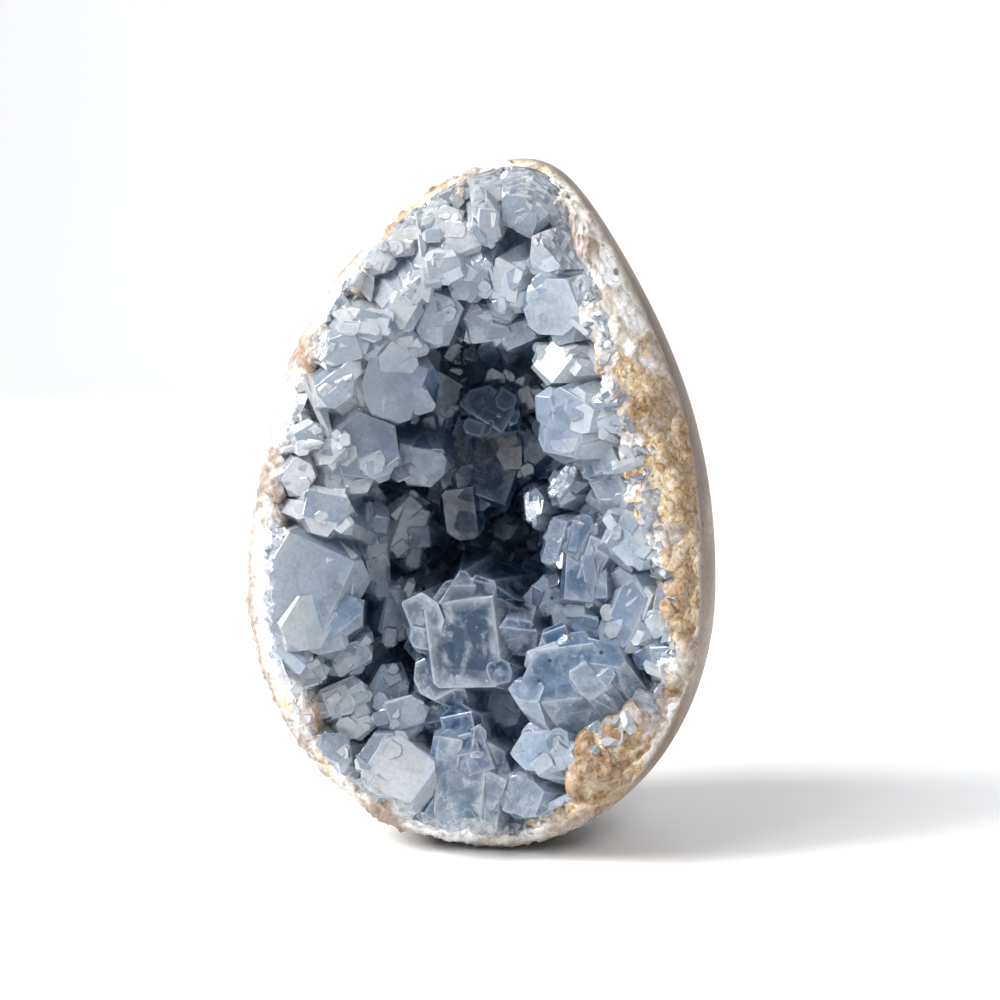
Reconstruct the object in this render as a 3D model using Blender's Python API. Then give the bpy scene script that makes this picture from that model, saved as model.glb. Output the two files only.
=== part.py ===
"""Celestite geode: a polished stone egg, open in front, lined with one crust of pale blue crystals.

Lengths here are millimetres and are scaled to metres when a mesh is made. +X is to the right of someone who
looks into the opening, +Y points away from them and +Z is up. The origin is the centre of the small flat
spot that the egg stands on.
"""
import bmesh
import bpy
import numpy as np
from mathutils import Vector, noise

MM = 0.001
FORWARD = np.array([0.0, -1.0, 0.0])

# The egg
TOP_HEIGHT = 138.7
FLAT_CUT = 1.3
HALF_WIDTH = 46.5
WIDEST_HEIGHT = 53.7
DEPTH_SHARE = 0.946
TAPER = 0.24
TIP_SHIFT = 8.0
AXIS_AHEAD = 7.0
MIDDLE_HEIGHT = 62.0

# The opening: polished skin, then a rough band of matrix, then the bowl
SKIN_EDGE_DEPTH = 8.5
SKIN_EDGE_EXTRA = 4.5
BAND_REACH_THIN = 0.95
BAND_REACH_WIDE = 0.80
BAND_DEPTH_SHARE = 0.74
BOWL_FLOOR = 20.0
BOWL_POWER = 2.6
BAND_LUMP = 0.8

# The crust
GAP = 0.4
LINING_THICKNESS = 2.6
LINING_LUMP = 1.1
GROUND_FRONT = 31.0
GROUND_PROUD = 0.6
ROOT_LENGTH = 3.0
SMALL_SEED = 7
SMALL_COUNT = 28
SMALL_PLANES = 8
SMALL_HALF_LENGTH = (3.0, 5.2)
SMALL_HEIGHT = (0.9, 1.7)
SMALL_SPACING = 6.0

# Angles of the crystal faces about the long axis of the main face, from the cell of celestite
SIDE_ANGLES = np.radians([38.0, 90.0, 142.0, 218.0, 270.0, 322.0])
END_BEVEL = np.radians(52.0)
SIDE_BEVEL = np.radians(39.0)

SHELL_SIDES = 48
CRUST_SIDES = 26
BAND_STEPS = 4
BOWL_STEPS = 6

# Crystals that stand out: x, z and y of the middle of the main face, its half length and half width, the
# turn of its long axis from level, and how far the face looks to the right and up for each unit forward.
LARGE_CRYSTALS = (
    (-2.0, 45.5, -15, 12.0, 11.5, 8, 0.05, 0.10),
    (-31.0, 56.0, -21, 13.0, 10.0, 65, 0.28, 0.10),
    (-14.0, 18.0, -24, 9.0, 8.0, -35, 0.00, 0.18),
    (-0.5, 16.0, -22, 12.0, 7.0, 85, 0.05, 0.05),
    (20.0, 39.5, -20, 10.0, 7.5, 10, -0.05, 0.15),
    (39.0, 42.5, -18, 6.5, 3.5, 8, -0.30, 0.10),
    (30.0, 50.5, -15, 7.5, 5.0, 70, -0.35, 0.15),
    (21.5, 59.0, -12, 10.5, 4.5, 88, -0.20, 0.05),
    (18.0, 88.0, -17, 8.0, 5.5, 82, -0.35, -0.05),
    (16.5, 110.0, -18, 6.5, 6.0, 50, -0.20, -0.25),
    (16.0, 100.0, -15, 5.5, 4.5, -35, -0.42, 0.30),
    (11.0, 129.0, -20, 6.0, 5.5, 40, 0.10, -0.10),
    (4.0, 131.5, -20, 4.0, 3.0, 15, 0.05, 0.10),
    (3.5, 125.5, -18, 4.0, 2.5, 85, 0.10, -0.20),
    (15.5, 120.5, -20, 4.5, 4.0, -30, -0.15, -0.05),
    (-14.0, 95.0, -15, 8.5, 7.5, 70, 0.35, -0.10),
    (-15.5, 102.0, -17, 6.5, 3.5, 10, 0.25, -0.35),
    (-21.0, 82.5, -17, 7.5, 6.5, 40, 0.20, 0.12),
    (-11.5, 78.5, -9, 5.5, 4.0, -10, 0.10, -0.05),
    (-28.0, 71.0, -21, 5.5, 4.5, -10, 0.10, 0.30),
    (-25.0, 95.0, -23, 4.5, 3.5, 40, 0.05, 0.25),
    (-26.5, 82.5, -20, 3.5, 2.5, 50, -0.05, 0.30),
    (-20.5, 62.0, -8, 10.0, 3.5, 88, 0.75, 0.00),
    (-2.5, 78.0, 5, 12.0, 9.5, 70, 0.10, 0.10),
    (1.5, 89.0, 0, 6.0, 5.0, -30, -0.05, 0.20),
    (10.5, 71.0, -6, 3.5, 2.0, -75, -0.40, 0.30),
    (15.5, 64.5, -8, 5.5, 3.0, 80, -0.38, 0.28),
    (17.0, 75.0, -9, 4.0, 2.5, 55, -0.30, 0.35),
    (24.5, 81.0, -15, 5.0, 3.5, 25, -0.30, 0.10),
    (27.5, 74.5, -14, 5.5, 5.0, 20, -0.40, -0.30),
    (29.0, 56.0, -12, 4.5, 3.5, 30, -0.50, -0.30),
    (26.0, 110.0, -21, 5.0, 4.0, 75, -0.15, 0.05),
    (31.0, 65.5, -19, 6.0, 4.5, -40, -0.25, 0.10),
    (28.5, 90.0, -20, 4.5, 4.0, 60, -0.20, 0.05),
    (-23.5, 102.5, -22, 5.0, 3.5, 20, 0.10, 0.10),
    (-18.0, 107.0, -21, 4.5, 2.5, -10, 0.15, 0.25),
    (-12.5, 109.5, -18, 4.5, 3.5, 60, 0.20, -0.10),
    (-6.5, 107.5, -15, 5.5, 3.5, 70, 0.10, 0.05),
    (-5.5, 117.5, -18, 4.5, 3.0, 10, 0.10, -0.05),
    (0.0, 114.5, -15, 5.0, 4.0, 50, 0.05, -0.25),
    (2.0, 106.5, -11, 6.0, 4.0, 5, 0.00, -0.25),
    (7.0, 114.5, -15, 5.5, 3.5, 80, -0.10, -0.15),
    (9.0, 105.0, -11, 5.0, 2.5, 20, -0.10, 0.10),
    (-13.5, 122.5, -22, 3.5, 3.0, 10, 0.05, 0.15),
    (-5.0, 126.5, -21, 4.0, 3.0, 30, 0.05, 0.10),
    (-18.0, 119.5, -22, 3.5, 2.5, 60, 0.00, 0.15),
    (-28.5, 21.0, -21, 5.5, 4.0, 50, 0.15, 0.20),
    (-23.0, 27.5, -16, 4.5, 3.5, 40, 0.25, -0.05),
    (-13.5, 29.5, -18, 5.0, 4.0, 20, 0.10, 0.10),
    (-6.5, 29.5, -15, 4.5, 2.5, 10, 0.05, 0.10),
    (-17.0, 34.0, -13, 5.0, 3.5, 60, 0.15, 0.15),
    (-26.0, 33.0, -17, 5.0, 3.0, 20, 0.20, 0.20),
    (-33.5, 37.5, -20, 5.0, 3.0, 30, 0.10, 0.15),
    (-25.0, 40.0, -14, 5.0, 3.0, 30, 0.30, 0.05),
    (10.5, 14.5, -21, 5.0, 4.0, 70, -0.05, 0.00),
    (14.5, 24.0, -20, 6.5, 5.0, 10, -0.05, 0.15),
    (4.5, 30.5, -9, 6.0, 4.0, -20, -0.05, 0.25),
    (20.0, 48.0, -11, 5.5, 3.0, -20, -0.20, 0.10),
    (24.5, 25.0, -20, 4.5, 3.5, 40, -0.10, 0.15),
    (34.5, 33.5, -19, 4.5, 3.0, -20, -0.20, 0.15),
    (-31.5, 85.0, -21, 3.5, 3.0, 30, 0.05, 0.10),
    (-33.5, 77.0, -20, 4.0, 3.0, 60, 0.10, -0.05),
    (-24.0, 76.0, -17, 5.0, 3.0, 5, 0.15, 0.20),
    (-36.0, 44.0, -20, 4.5, 2.5, -50, 0.15, 0.05),
    (-10.5, 91.5, 6, 7.0, 5.5, 60, 0.20, 0.00),
    (6.0, 80.5, 6, 7.0, 5.5, 40, -0.15, 0.05),
    (5.5, 92.0, 3, 6.0, 4.5, 20, -0.10, -0.20),
    (12.5, 51.5, -6, 5.5, 3.5, 50, -0.15, 0.10),
    (-16.5, 48.5, -6, 6.0, 3.5, 80, 0.35, 0.05),
    (-15.5, 64.5, -2, 7.0, 4.0, 70, 0.50, 0.00),
    (34.0, 81.5, -19, 4.0, 3.0, 30, -0.25, 0.10),
    (37.0, 74.0, -19, 4.0, 3.0, 70, -0.25, 0.00),
    (38.0, 51.0, -18, 4.5, 3.0, 40, -0.30, 0.05),
    (31.0, 103.0, -20, 4.0, 3.0, 20, -0.15, 0.10),
    (24.0, 118.0, -20, 4.0, 3.0, 60, -0.15, 0.00),
    (18.5, 125.5, -20, 4.0, 3.0, 80, -0.10, 0.05),
    (-1.0, 122.5, -17, 4.5, 3.0, 20, 0.05, -0.15),
    (-9.5, 114.0, -18, 4.0, 2.5, 50, 0.10, 0.00),
)


def unit(vector):
    return vector / np.maximum(np.linalg.norm(vector, axis=-1, keepdims=True), 1e-9)


def half_width(z):
    """Half width of the egg at a height over the flat spot."""
    low = np.clip((WIDEST_HEIGHT - z) / (WIDEST_HEIGHT + FLAT_CUT), 0.0, 1.0)
    high = np.clip((z - WIDEST_HEIGHT) / (TOP_HEIGHT - WIDEST_HEIGHT), 0.0, 1.0)
    return HALF_WIDTH * np.sqrt(1.0 - low**2) * np.sqrt(1.0 - high**2) * (1.0 - TAPER * high**3)


def middle_x(z):
    """The tip leans a little to the right of the round end."""
    high = np.clip((z - WIDEST_HEIGHT) / (TOP_HEIGHT - WIDEST_HEIGHT), 0.0, 1.0)
    return TIP_SHIFT * high**6


def middle_y(z):
    """The belly hangs a little in front of the flat spot, which lies under the centre of mass."""
    rise = np.clip(z / WIDEST_HEIGHT, 0.0, 1.0)
    return -AXIS_AHEAD * (1.0 - (1.0 - rise) ** 2)


def outline_radius(angle):
    """Distance from the middle to the egg's outline, found by halving, at angles clockwise from straight up."""
    inner = np.zeros_like(angle)
    outer = np.full_like(angle, TOP_HEIGHT)
    for _ in range(40):
        radius = (inner + outer) / 2.0
        x = radius * np.sin(angle)
        z = MIDDLE_HEIGHT + radius * np.cos(angle)
        inside = np.abs(x - middle_x(z)) < half_width(z)
        inner = np.where(inside, radius, inner)
        outer = np.where(inside, outer, radius)
    return inner


def egg_depth(x, z):
    """How far the egg reaches in front of its middle, and as far behind it."""
    return DEPTH_SHARE * np.sqrt(np.clip(half_width(z) ** 2 - (x - middle_x(z)) ** 2, 0.0, None))


def at_share(angle, share, forward):
    """Points at a share of the outline's radius, a distance in front of the egg's middle."""
    radius = share * outline_radius(angle)
    x = radius * np.sin(angle)
    z = MIDDLE_HEIGHT + radius * np.cos(angle)
    return np.stack([x, middle_y(z) - forward, z], axis=-1)


def depth_at_share(angle, share):
    radius = share * outline_radius(angle)
    return egg_depth(radius * np.sin(angle), MIDDLE_HEIGHT + radius * np.cos(angle))


def hump(angle, middle, width):
    """1 at an angle in degrees, falling smoothly to 0 on both sides of it."""
    away = (np.degrees(angle) - middle + 180.0) % 360.0 - 180.0
    return np.exp(-((away / width) ** 2))


def band_width(angle):
    """The bare band of matrix is wide on the right and at the lower right, and thin elsewhere."""
    return np.clip(hump(angle, 68.0, 36.0) + 0.9 * hump(angle, 144.0, 17.0), 0.0, 1.0)


def band_inner_share(angle):
    return BAND_REACH_THIN - (BAND_REACH_THIN - BAND_REACH_WIDE) * band_width(angle)


def skin_edge_angle(angle):
    """The polished skin runs past the outline to here, as a turn forward about the egg's middle."""
    edge = SKIN_EDGE_DEPTH + SKIN_EDGE_EXTRA * hump(angle, 115.0, 60.0)
    return np.arcsin(edge / (DEPTH_SHARE * HALF_WIDTH))


def lumpy(points, height, size, across):
    """Moves points along a direction by smooth noise, with lumps of a size in millimetres."""
    flat = points.reshape(-1, 3)
    bumps = [noise.fractal(Vector(p) / size, 0.9, 2.0, 3) for p in flat]
    return points + height * np.array(bumps).reshape(points.shape[:-1])[..., None] * across


def skin_rings(angle):
    """The polished skin, from the pole at the back round to its edge in front."""
    rings = []
    for turn in np.radians(np.linspace(0.0, 90.0, 10)):
        share = np.full_like(angle, np.sin(turn))
        rings.append(at_share(angle, share, -depth_at_share(angle, share)))
    for part in (0.5, 1.0):
        share = np.cos(skin_edge_angle(angle) * part)
        rings.append(at_share(angle, share, depth_at_share(angle, share)))
    return rings


def bowl_rings(angle, steps, spread=1.0, ahead=0.0):
    """The bowl from its mouth down to its floor, spread sideways and moved ahead by these amounts."""
    mouth_share = band_inner_share(angle)
    mouth_forward = BAND_DEPTH_SHARE * depth_at_share(angle, mouth_share)
    rings = []
    for step in range(steps + 1):
        part = 1.0 - step / steps
        rise = part**BOWL_POWER
        forward = mouth_forward * rise - BOWL_FLOOR * (1.0 - rise)
        ring = at_share(angle, mouth_share * part, forward + ahead)
        ring[:, 0] *= spread
        ring[:, 2] = MIDDLE_HEIGHT + spread * (ring[:, 2] - MIDDLE_HEIGHT)
        rings.append(ring if step == steps else lumpy(ring, BAND_LUMP, 9.0, FORWARD))
    return rings


def opening_rings(angle):
    """The rough band from the skin's edge to the bowl, and then the bowl."""
    edge_share = np.cos(skin_edge_angle(angle))
    edge = at_share(angle, edge_share, depth_at_share(angle, edge_share))
    bowl = bowl_rings(angle, BOWL_STEPS)
    rings = [edge]
    for step in range(1, BAND_STEPS):
        ring = edge + (bowl[0] - edge) * step / BAND_STEPS
        rings.append(lumpy(ring, BAND_LUMP, 5.0, FORWARD))
    return rings + bowl


def lifted(rings, distance):
    """Rings moved off the opening's surface, along its normals, towards the open side."""
    grid = np.array(rings)
    steps = unit(grid[1:] - grid[:-1])
    inward = np.concatenate([steps[:1], steps[:-1] + steps[1:], steps[-1:]])
    around = unit(np.roll(grid, -1, axis=1) - grid) + unit(grid - np.roll(grid, 1, axis=1))
    normal = unit(np.cross(inward, around))
    normal[-1] = FORWARD
    return list(grid + distance * normal)


def closed_mesh(name, rings):
    """A closed solid from rings of points, the first and last of which shrink to a point."""
    mesh = bmesh.new()
    rows = []
    for place, ring in enumerate(rings):
        if place in (0, len(rings) - 1):
            rows.append([mesh.verts.new(ring.mean(axis=0) * MM)])
        else:
            rows.append([mesh.verts.new(point * MM) for point in ring])
    for before, after in zip(rows, rows[1:]):
        count = max(len(before), len(after))
        for here in range(count):
            there = (here + 1) % count
            corners = [
                before[here % len(before)],
                before[there % len(before)],
                after[there % len(after)],
                after[here % len(after)],
            ]
            unique = list(dict.fromkeys(corners))
            if len(unique) == 4:
                mesh.faces.new((unique[0], unique[1], unique[2]))
                mesh.faces.new((unique[0], unique[2], unique[3]))
            else:
                mesh.faces.new(unique)
    bmesh.ops.recalc_face_normals(mesh, faces=mesh.faces)
    return new_object(name, mesh)


def new_object(name, mesh):
    bmesh.ops.triangulate(mesh, faces=mesh.faces)
    data = bpy.data.meshes.new(name)
    mesh.to_mesh(data)
    mesh.free()
    thing = bpy.data.objects.new(name, data)
    bpy.context.scene.collection.objects.link(thing)
    return thing


def cut_off(mesh, point, normal):
    """Cuts away what lies beyond a plane and closes the cut with one flat face."""
    everything = mesh.verts[:] + mesh.edges[:] + mesh.faces[:]
    cut = bmesh.ops.bisect_plane(mesh, geom=everything, dist=1e-7, plane_co=point, plane_no=normal, clear_outer=True)
    edges = [piece for piece in cut["geom_cut"] if isinstance(piece, bmesh.types.BMEdge)]
    if edges:
        bmesh.ops.contextual_create(mesh, geom=edges)


def cut_flat(thing, height):
    """Cuts a thing off flat at a height."""
    mesh = bmesh.new()
    mesh.from_mesh(thing.data)
    cut_off(mesh, Vector((0.0, 0.0, height * MM)), Vector((0.0, 0.0, -1.0)))
    mesh.to_mesh(thing.data)
    mesh.free()


def crystal_planes(face_middle, face_normal, growth, turn, half_length, half_width_, draw):
    """Planes of one crystal as (point, outward normal): its main face, six sides and four bevels.

    The sides follow the growth direction back to the root, so none of them leans against it.
    """
    lean = face_normal @ growth
    if lean < 0.1:
        face_normal = unit(face_normal + (0.1 - lean) * growth)
    level = unit(np.cross((0.0, 0.0, 1.0), face_normal))
    upright = np.cross(face_normal, level)
    long_axis = np.cos(turn) * level + np.sin(turn) * upright
    short_axis = np.cross(face_normal, long_axis)
    planes = [(face_middle, face_normal)]
    corner = 1.1 * np.cos(SIDE_ANGLES[0]) * half_length
    for angle in SIDE_ANGLES:
        reach = half_width_ if abs(np.cos(angle)) < 0.5 else corner
        reach = reach * draw.uniform(0.86, 1.12)
        angle = angle + draw.uniform(-0.10, 0.10)
        outward = np.cos(angle) * long_axis + np.sin(angle) * short_axis
        point = face_middle + reach * outward
        against = min(outward @ growth, 0.0)
        planes.append((point, unit(outward - against * growth)))
    for axis, reach, bevel in (
        (long_axis, half_length, END_BEVEL),
        (-long_axis, half_length, END_BEVEL),
        (short_axis, half_width_, SIDE_BEVEL),
        (-short_axis, half_width_, SIDE_BEVEL),
    ):
        point = face_middle + draw.uniform(0.5, 1.0) * reach * axis
        planes.append((point, np.cos(bevel) * face_normal + np.sin(bevel) * axis))
    return planes


def crystal(name, planes, root, growth, reach):
    """A block round the crystal, cut down by its planes and ended behind its root."""
    mesh = bmesh.new()
    bmesh.ops.create_cube(mesh, size=2.0 * reach * MM)
    bmesh.ops.translate(mesh, verts=mesh.verts, vec=Vector(planes[0][0] * MM))
    for point, normal in planes:
        cut_off(mesh, Vector(point * MM), Vector(normal))
    cut_off(mesh, Vector((root - ROOT_LENGTH * growth) * MM), Vector(-growth))
    bmesh.ops.dissolve_degenerate(mesh, dist=1e-6, edges=mesh.edges)
    bmesh.ops.recalc_face_normals(mesh, faces=mesh.faces)
    return new_object(name, mesh)


def nearest(points, place):
    return int(np.argmin(((points - place) ** 2).sum(axis=1)))


def large_crystals(wall):
    """The crystals listed at the top, each grown from the nearest part of the wall."""
    things = []
    for number, (x, z, forward, half_length, half_width_, turn, right, up) in enumerate(LARGE_CRYSTALS):
        draw = np.random.RandomState(100 + number)
        middle = np.array([x, middle_y(z) + forward, z])
        face = unit(np.array([right, -1.0, up]))
        root = wall[nearest(wall, middle)]
        growth = unit(unit(middle - root) + 0.6 * face)
        planes = crystal_planes(middle, face, growth, np.radians(turn), half_length, half_width_, draw)
        reach = np.linalg.norm(middle - root) + 3.0 * half_length
        things.append(crystal(f"large_{number}", planes, root, growth, reach))
    return things


def small_crystals(wall, normals):
    """Smaller crystals that fill the wall between the large ones."""
    draw = np.random.RandomState(SMALL_SEED)
    faces = np.array([(x, middle_y(z) + forward, z) for x, z, forward, *_ in LARGE_CRYSTALS])
    taken = list(faces)
    things = []
    for index in draw.permutation(len(wall)):
        root = wall[index]
        size = draw.uniform(*SMALL_HALF_LENGTH)
        growth = unit(normals[index] + draw.normal(0.0, 0.28, 3))
        middle = root + growth * size * draw.uniform(*SMALL_HEIGHT)
        clear = min(np.linalg.norm(middle - other) for other in taken)
        if clear < SMALL_SPACING or len(things) == SMALL_COUNT:
            continue
        taken.append(middle)
        face = unit(growth + draw.normal(0.0, 0.35, 3))
        turn = draw.uniform(0.0, np.pi)
        narrow = size * draw.uniform(0.6, 0.9)
        planes = crystal_planes(middle, face, growth, turn, size, narrow, draw)[:SMALL_PLANES]
        things.append(crystal(f"small_{len(things)}", planes, root, growth, 4.0 * size))
    return things


def combine(thing, others, operation):
    """Applies one Boolean of a thing with a group of others, which are then removed."""
    group = bpy.data.collections.new("cutters")
    bpy.context.scene.collection.children.link(group)
    for other in others:
        group.objects.link(other)
    change = thing.modifiers.new("combine", "BOOLEAN")
    change.operation = operation
    change.operand_type = "COLLECTION"
    change.collection = group
    change.solver = "EXACT"
    graph = bpy.context.evaluated_depsgraph_get()
    data = bpy.data.meshes.new_from_object(thing.evaluated_get(graph))
    thing.modifiers.clear()
    thing.data = data
    for other in others:
        bpy.data.objects.remove(other)
    bpy.data.collections.remove(group)


def keep_main_body(thing):
    """Keeps the largest body of a mesh, and drops crumbs and sealed bubbles that the Booleans left."""
    mesh = bmesh.new()
    mesh.from_mesh(thing.data)
    bmesh.ops.triangulate(mesh, faces=mesh.faces)
    waiting = set(mesh.faces)
    bodies = []
    while waiting:
        front = [waiting.pop()]
        body = set(front)
        while front:
            for edge in front.pop().edges:
                for face in edge.link_faces:
                    if face in waiting:
                        waiting.remove(face)
                        body.add(face)
                        front.append(face)
        bodies.append(body)
    bodies.sort(key=len)
    for body in bodies[:-1]:
        bmesh.ops.delete(mesh, geom=list(body), context="FACES")
    mesh.to_mesh(thing.data)
    mesh.free()


def material(name, colour, roughness, transmission=0.0):
    made = bpy.data.materials.new(name)
    made.use_nodes = True
    shader = made.node_tree.nodes["Principled BSDF"]
    shader.inputs["Base Color"].default_value = (*colour, 1.0)
    shader.inputs["Roughness"].default_value = roughness
    shader.inputs["Metallic"].default_value = 0.0
    shader.inputs["Transmission Weight"].default_value = transmission
    made.diffuse_color = (*colour, 1.0)
    return made


def make_shell():
    """The stone egg with its rough band and bowl, and the flat spot under it."""
    angle = np.radians(np.linspace(0.0, 360.0, SHELL_SIDES, endpoint=False))
    rings = skin_rings(angle) + opening_rings(angle)[1:]
    shell = closed_mesh("geode_shell", rings)
    cut_flat(shell, 0.0)
    shell.data.materials.append(material("stone", (0.62, 0.56, 0.47), 0.6))
    shell.data.shade_smooth()
    shell.data.set_sharp_from_angle(angle=np.radians(40.0))
    return shell


def make_crust():
    """The crystal lining and every crystal as one solid, held inside the ground front of the egg."""
    angle = np.radians(np.linspace(0.0, 360.0, CRUST_SIDES, endpoint=False))
    back = bowl_rings(angle, BOWL_STEPS, 1.05, -ROOT_LENGTH)
    front = bowl_rings(angle, BOWL_STEPS, 0.94, LINING_THICKNESS)
    front = [lumpy(ring, LINING_LUMP, 4.0, FORWARD) for ring in front]
    crust = closed_mesh("crystal_crust", front[::-1] + back)
    stone = opening_rings(angle)
    wall = np.concatenate(stone[2:])
    normals = np.concatenate(lifted(stone, 1.0)[2:]) - wall
    combine(crust, large_crystals(wall) + small_crystals(wall, normals), "UNION")
    combine(crust, [ground_space()], "INTERSECT")
    keep_main_body(crust)
    crust.data.materials.append(material("celestite", (0.52, 0.63, 0.74), 0.15, 0.5))
    return crust


def ground_space():
    """The room that the crust may fill: the opening, a gap off the stone, up to the ground front."""
    angle = np.radians(np.linspace(0.0, 360.0, SHELL_SIDES, endpoint=False))
    stone = opening_rings(angle)
    back = lifted(stone, GAP)
    front = []
    for share in (0.0, 0.3, 0.55, 0.75, 0.86, 0.93, 0.97):
        shares = np.full_like(angle, share) * np.cos(skin_edge_angle(angle))
        forward = np.minimum(depth_at_share(angle, shares) + GROUND_PROUD, GROUND_FRONT)
        front.append(at_share(angle, shares, forward))
    space = closed_mesh("ground_space", front + back)
    cut_flat(space, GAP)
    return space


for thing in list(bpy.data.objects):
    bpy.data.objects.remove(thing)
make_shell()
make_crust()
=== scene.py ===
# %% [markdown]
# # Celestite geode
# The real thing is an egg of stone, ground and polished outside, whose hollow is lined with pale blue
# celestite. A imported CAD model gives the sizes. This lesson dresses it: a stone egg with a broken band
# round its opening, and one crust of clear crystals. Lengths below are millimetres, and they become
# metres when a mesh is made.

# %% Load the frame
import itertools

import bmesh
import bpy
import numpy as np
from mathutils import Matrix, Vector


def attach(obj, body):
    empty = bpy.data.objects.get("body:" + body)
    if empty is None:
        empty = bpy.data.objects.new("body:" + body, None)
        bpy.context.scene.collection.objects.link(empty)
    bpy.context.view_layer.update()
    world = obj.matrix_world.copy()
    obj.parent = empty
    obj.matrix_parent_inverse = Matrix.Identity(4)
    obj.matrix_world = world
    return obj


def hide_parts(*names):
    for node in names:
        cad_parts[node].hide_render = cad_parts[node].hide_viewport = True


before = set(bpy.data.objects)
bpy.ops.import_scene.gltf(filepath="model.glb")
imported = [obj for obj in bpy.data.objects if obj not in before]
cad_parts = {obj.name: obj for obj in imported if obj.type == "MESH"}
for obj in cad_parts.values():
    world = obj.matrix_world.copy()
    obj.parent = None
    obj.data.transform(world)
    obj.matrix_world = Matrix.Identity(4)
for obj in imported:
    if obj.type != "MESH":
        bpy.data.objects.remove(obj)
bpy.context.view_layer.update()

MM = 0.001

# %% [markdown]
# ## The egg as a formula
# The solid was made from a few formulas, so the same ones are written again here: the half width of the
# egg at a height, how far its middle line leans, and how deep it is. Repeating them keeps the fine
# surface exactly on the plain solid, which measuring the mesh would not.

# %% Formulas of the egg
TOP_HEIGHT = 138.7
FLAT_CUT = 1.3
HALF_WIDTH = 46.5
WIDEST_HEIGHT = 53.7
DEPTH_SHARE = 0.946
TAPER = 0.24
TIP_SHIFT = 8.0
AXIS_AHEAD = 7.0


def half_width(z):
    """Half width at a height: a quarter ellipse below the widest place and one above it, with a taper."""
    low = np.clip((WIDEST_HEIGHT - z) / (WIDEST_HEIGHT + FLAT_CUT), 0.0, 1.0)
    high = np.clip((z - WIDEST_HEIGHT) / (TOP_HEIGHT - WIDEST_HEIGHT), 0.0, 1.0)
    return HALF_WIDTH * np.sqrt(1.0 - low**2) * np.sqrt(1.0 - high**2) * (1.0 - TAPER * high**3)


def middle_x(z):
    """The tip leans to the right by the sixth power of the height."""
    high = np.clip((z - WIDEST_HEIGHT) / (TOP_HEIGHT - WIDEST_HEIGHT), 0.0, 1.0)
    return TIP_SHIFT * high**6


def middle_y(z):
    """The middle moves forward with height, most quickly near the flat spot."""
    rise = np.clip(z / WIDEST_HEIGHT, 0.0, 1.0)
    return -AXIS_AHEAD * (1.0 - (1.0 - rise) ** 2)


def egg_depth(x, z):
    """Half depth: a level cut through the egg is an ellipse."""
    return DEPTH_SHARE * np.sqrt(np.clip(half_width(z) ** 2 - (x - middle_x(z)) ** 2, 0.0, None))


print("widest:", 2 * half_width(WIDEST_HEIGHT), "mm")

# %% [markdown]
# ## Places within the outline
# From the front, every ring of this egg is its outline drawn in towards one middle point. So a place is an
# angle, a share of the outline's radius at that angle, and a distance forward. Polar grids like this
# follow a round opening far better than rows and columns do.

# %% Points by angle and share
MIDDLE_HEIGHT = 62.0
HALVINGS = 40


def turns(sides):
    """Equal angles once round, clockwise from straight up."""
    return np.radians(np.linspace(0.0, 360.0, sides, endpoint=False))


def outline_radius(angle):
    """Distance from the middle to the outline, found by halving the span between inside and outside."""
    inner = np.zeros_like(angle)
    outer = np.full_like(angle, TOP_HEIGHT)
    for _ in range(HALVINGS):
        radius = (inner + outer) / 2.0
        x = radius * np.sin(angle)
        z = MIDDLE_HEIGHT + radius * np.cos(angle)
        inside = np.abs(x - middle_x(z)) < half_width(z)
        inner = np.where(inside, radius, inner)
        outer = np.where(inside, outer, radius)
    return inner


def at_share(angle, share, forward):
    """Points at a share of the outline's radius and a distance in front of the egg's middle."""
    radius = share * outline_radius(angle)
    x = radius * np.sin(angle)
    z = MIDDLE_HEIGHT + radius * np.cos(angle)
    return np.stack([x, middle_y(z) - forward, z], axis=-1)


def depth_at_share(angle, share):
    """Half depth of the egg at a share of the outline's radius."""
    radius = share * outline_radius(angle)
    return egg_depth(radius * np.sin(angle), MIDDLE_HEIGHT + radius * np.cos(angle))


print("radius up, right, down, left:", outline_radius(turns(4)).round(1), "mm")

# %% [markdown]
# ## The opening as a formula
# Round the hollow the stone isn't polished: a broken band runs from the polished edge down to the
# crystals. It is wide on the right and at the lower right, and nearly nothing on the left. A painted mask
# could say where; here humps do, bell curves of the angle, so that every surface follows the same band.

# %% Width of the band and depth of the bowl
SKIN_EDGE_DEPTH = 8.5
SKIN_EDGE_EXTRA = 4.5
SKIN_EDGE_HUMP = (115.0, 60.0)
BAND_HUMPS = ((1.0, 68.0, 36.0), (0.9, 144.0, 17.0))
BAND_REACH_THIN = 0.95
BAND_REACH_WIDE = 0.80
BAND_DEPTH_SHARE = 0.74
BOWL_FLOOR = 20.0
BOWL_POWER = 2.6


def hump(angle, middle, width):
    """1 at an angle in degrees, falling as a bell curve to 0 on both sides of it."""
    away = (np.degrees(angle) - middle + 180.0) % 360.0 - 180.0
    return np.exp(-((away / width) ** 2))


def humps(angle, table, start=0.0):
    """A start value plus every hump of a table of heights, middles and widths."""
    return sum((height * hump(angle, middle, width) for height, middle, width in table), start)


def band_width(angle):
    """Width of the broken band, from 0 where it is thin to 1 where it is wide."""
    return np.clip(humps(angle, BAND_HUMPS), 0.0, 1.0)


def skin_edge_angle(angle):
    """How far the polished skin runs past the outline, as a turn forward about the egg's middle."""
    edge = SKIN_EDGE_DEPTH + SKIN_EDGE_EXTRA * hump(angle, *SKIN_EDGE_HUMP)
    return np.arcsin(edge / (DEPTH_SHARE * HALF_WIDTH))


def skin_edge(angle):
    """The edge of the polished skin: on the egg, at the cosine of that turn."""
    share = np.cos(skin_edge_angle(angle))
    return at_share(angle, share, depth_at_share(angle, share))


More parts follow.
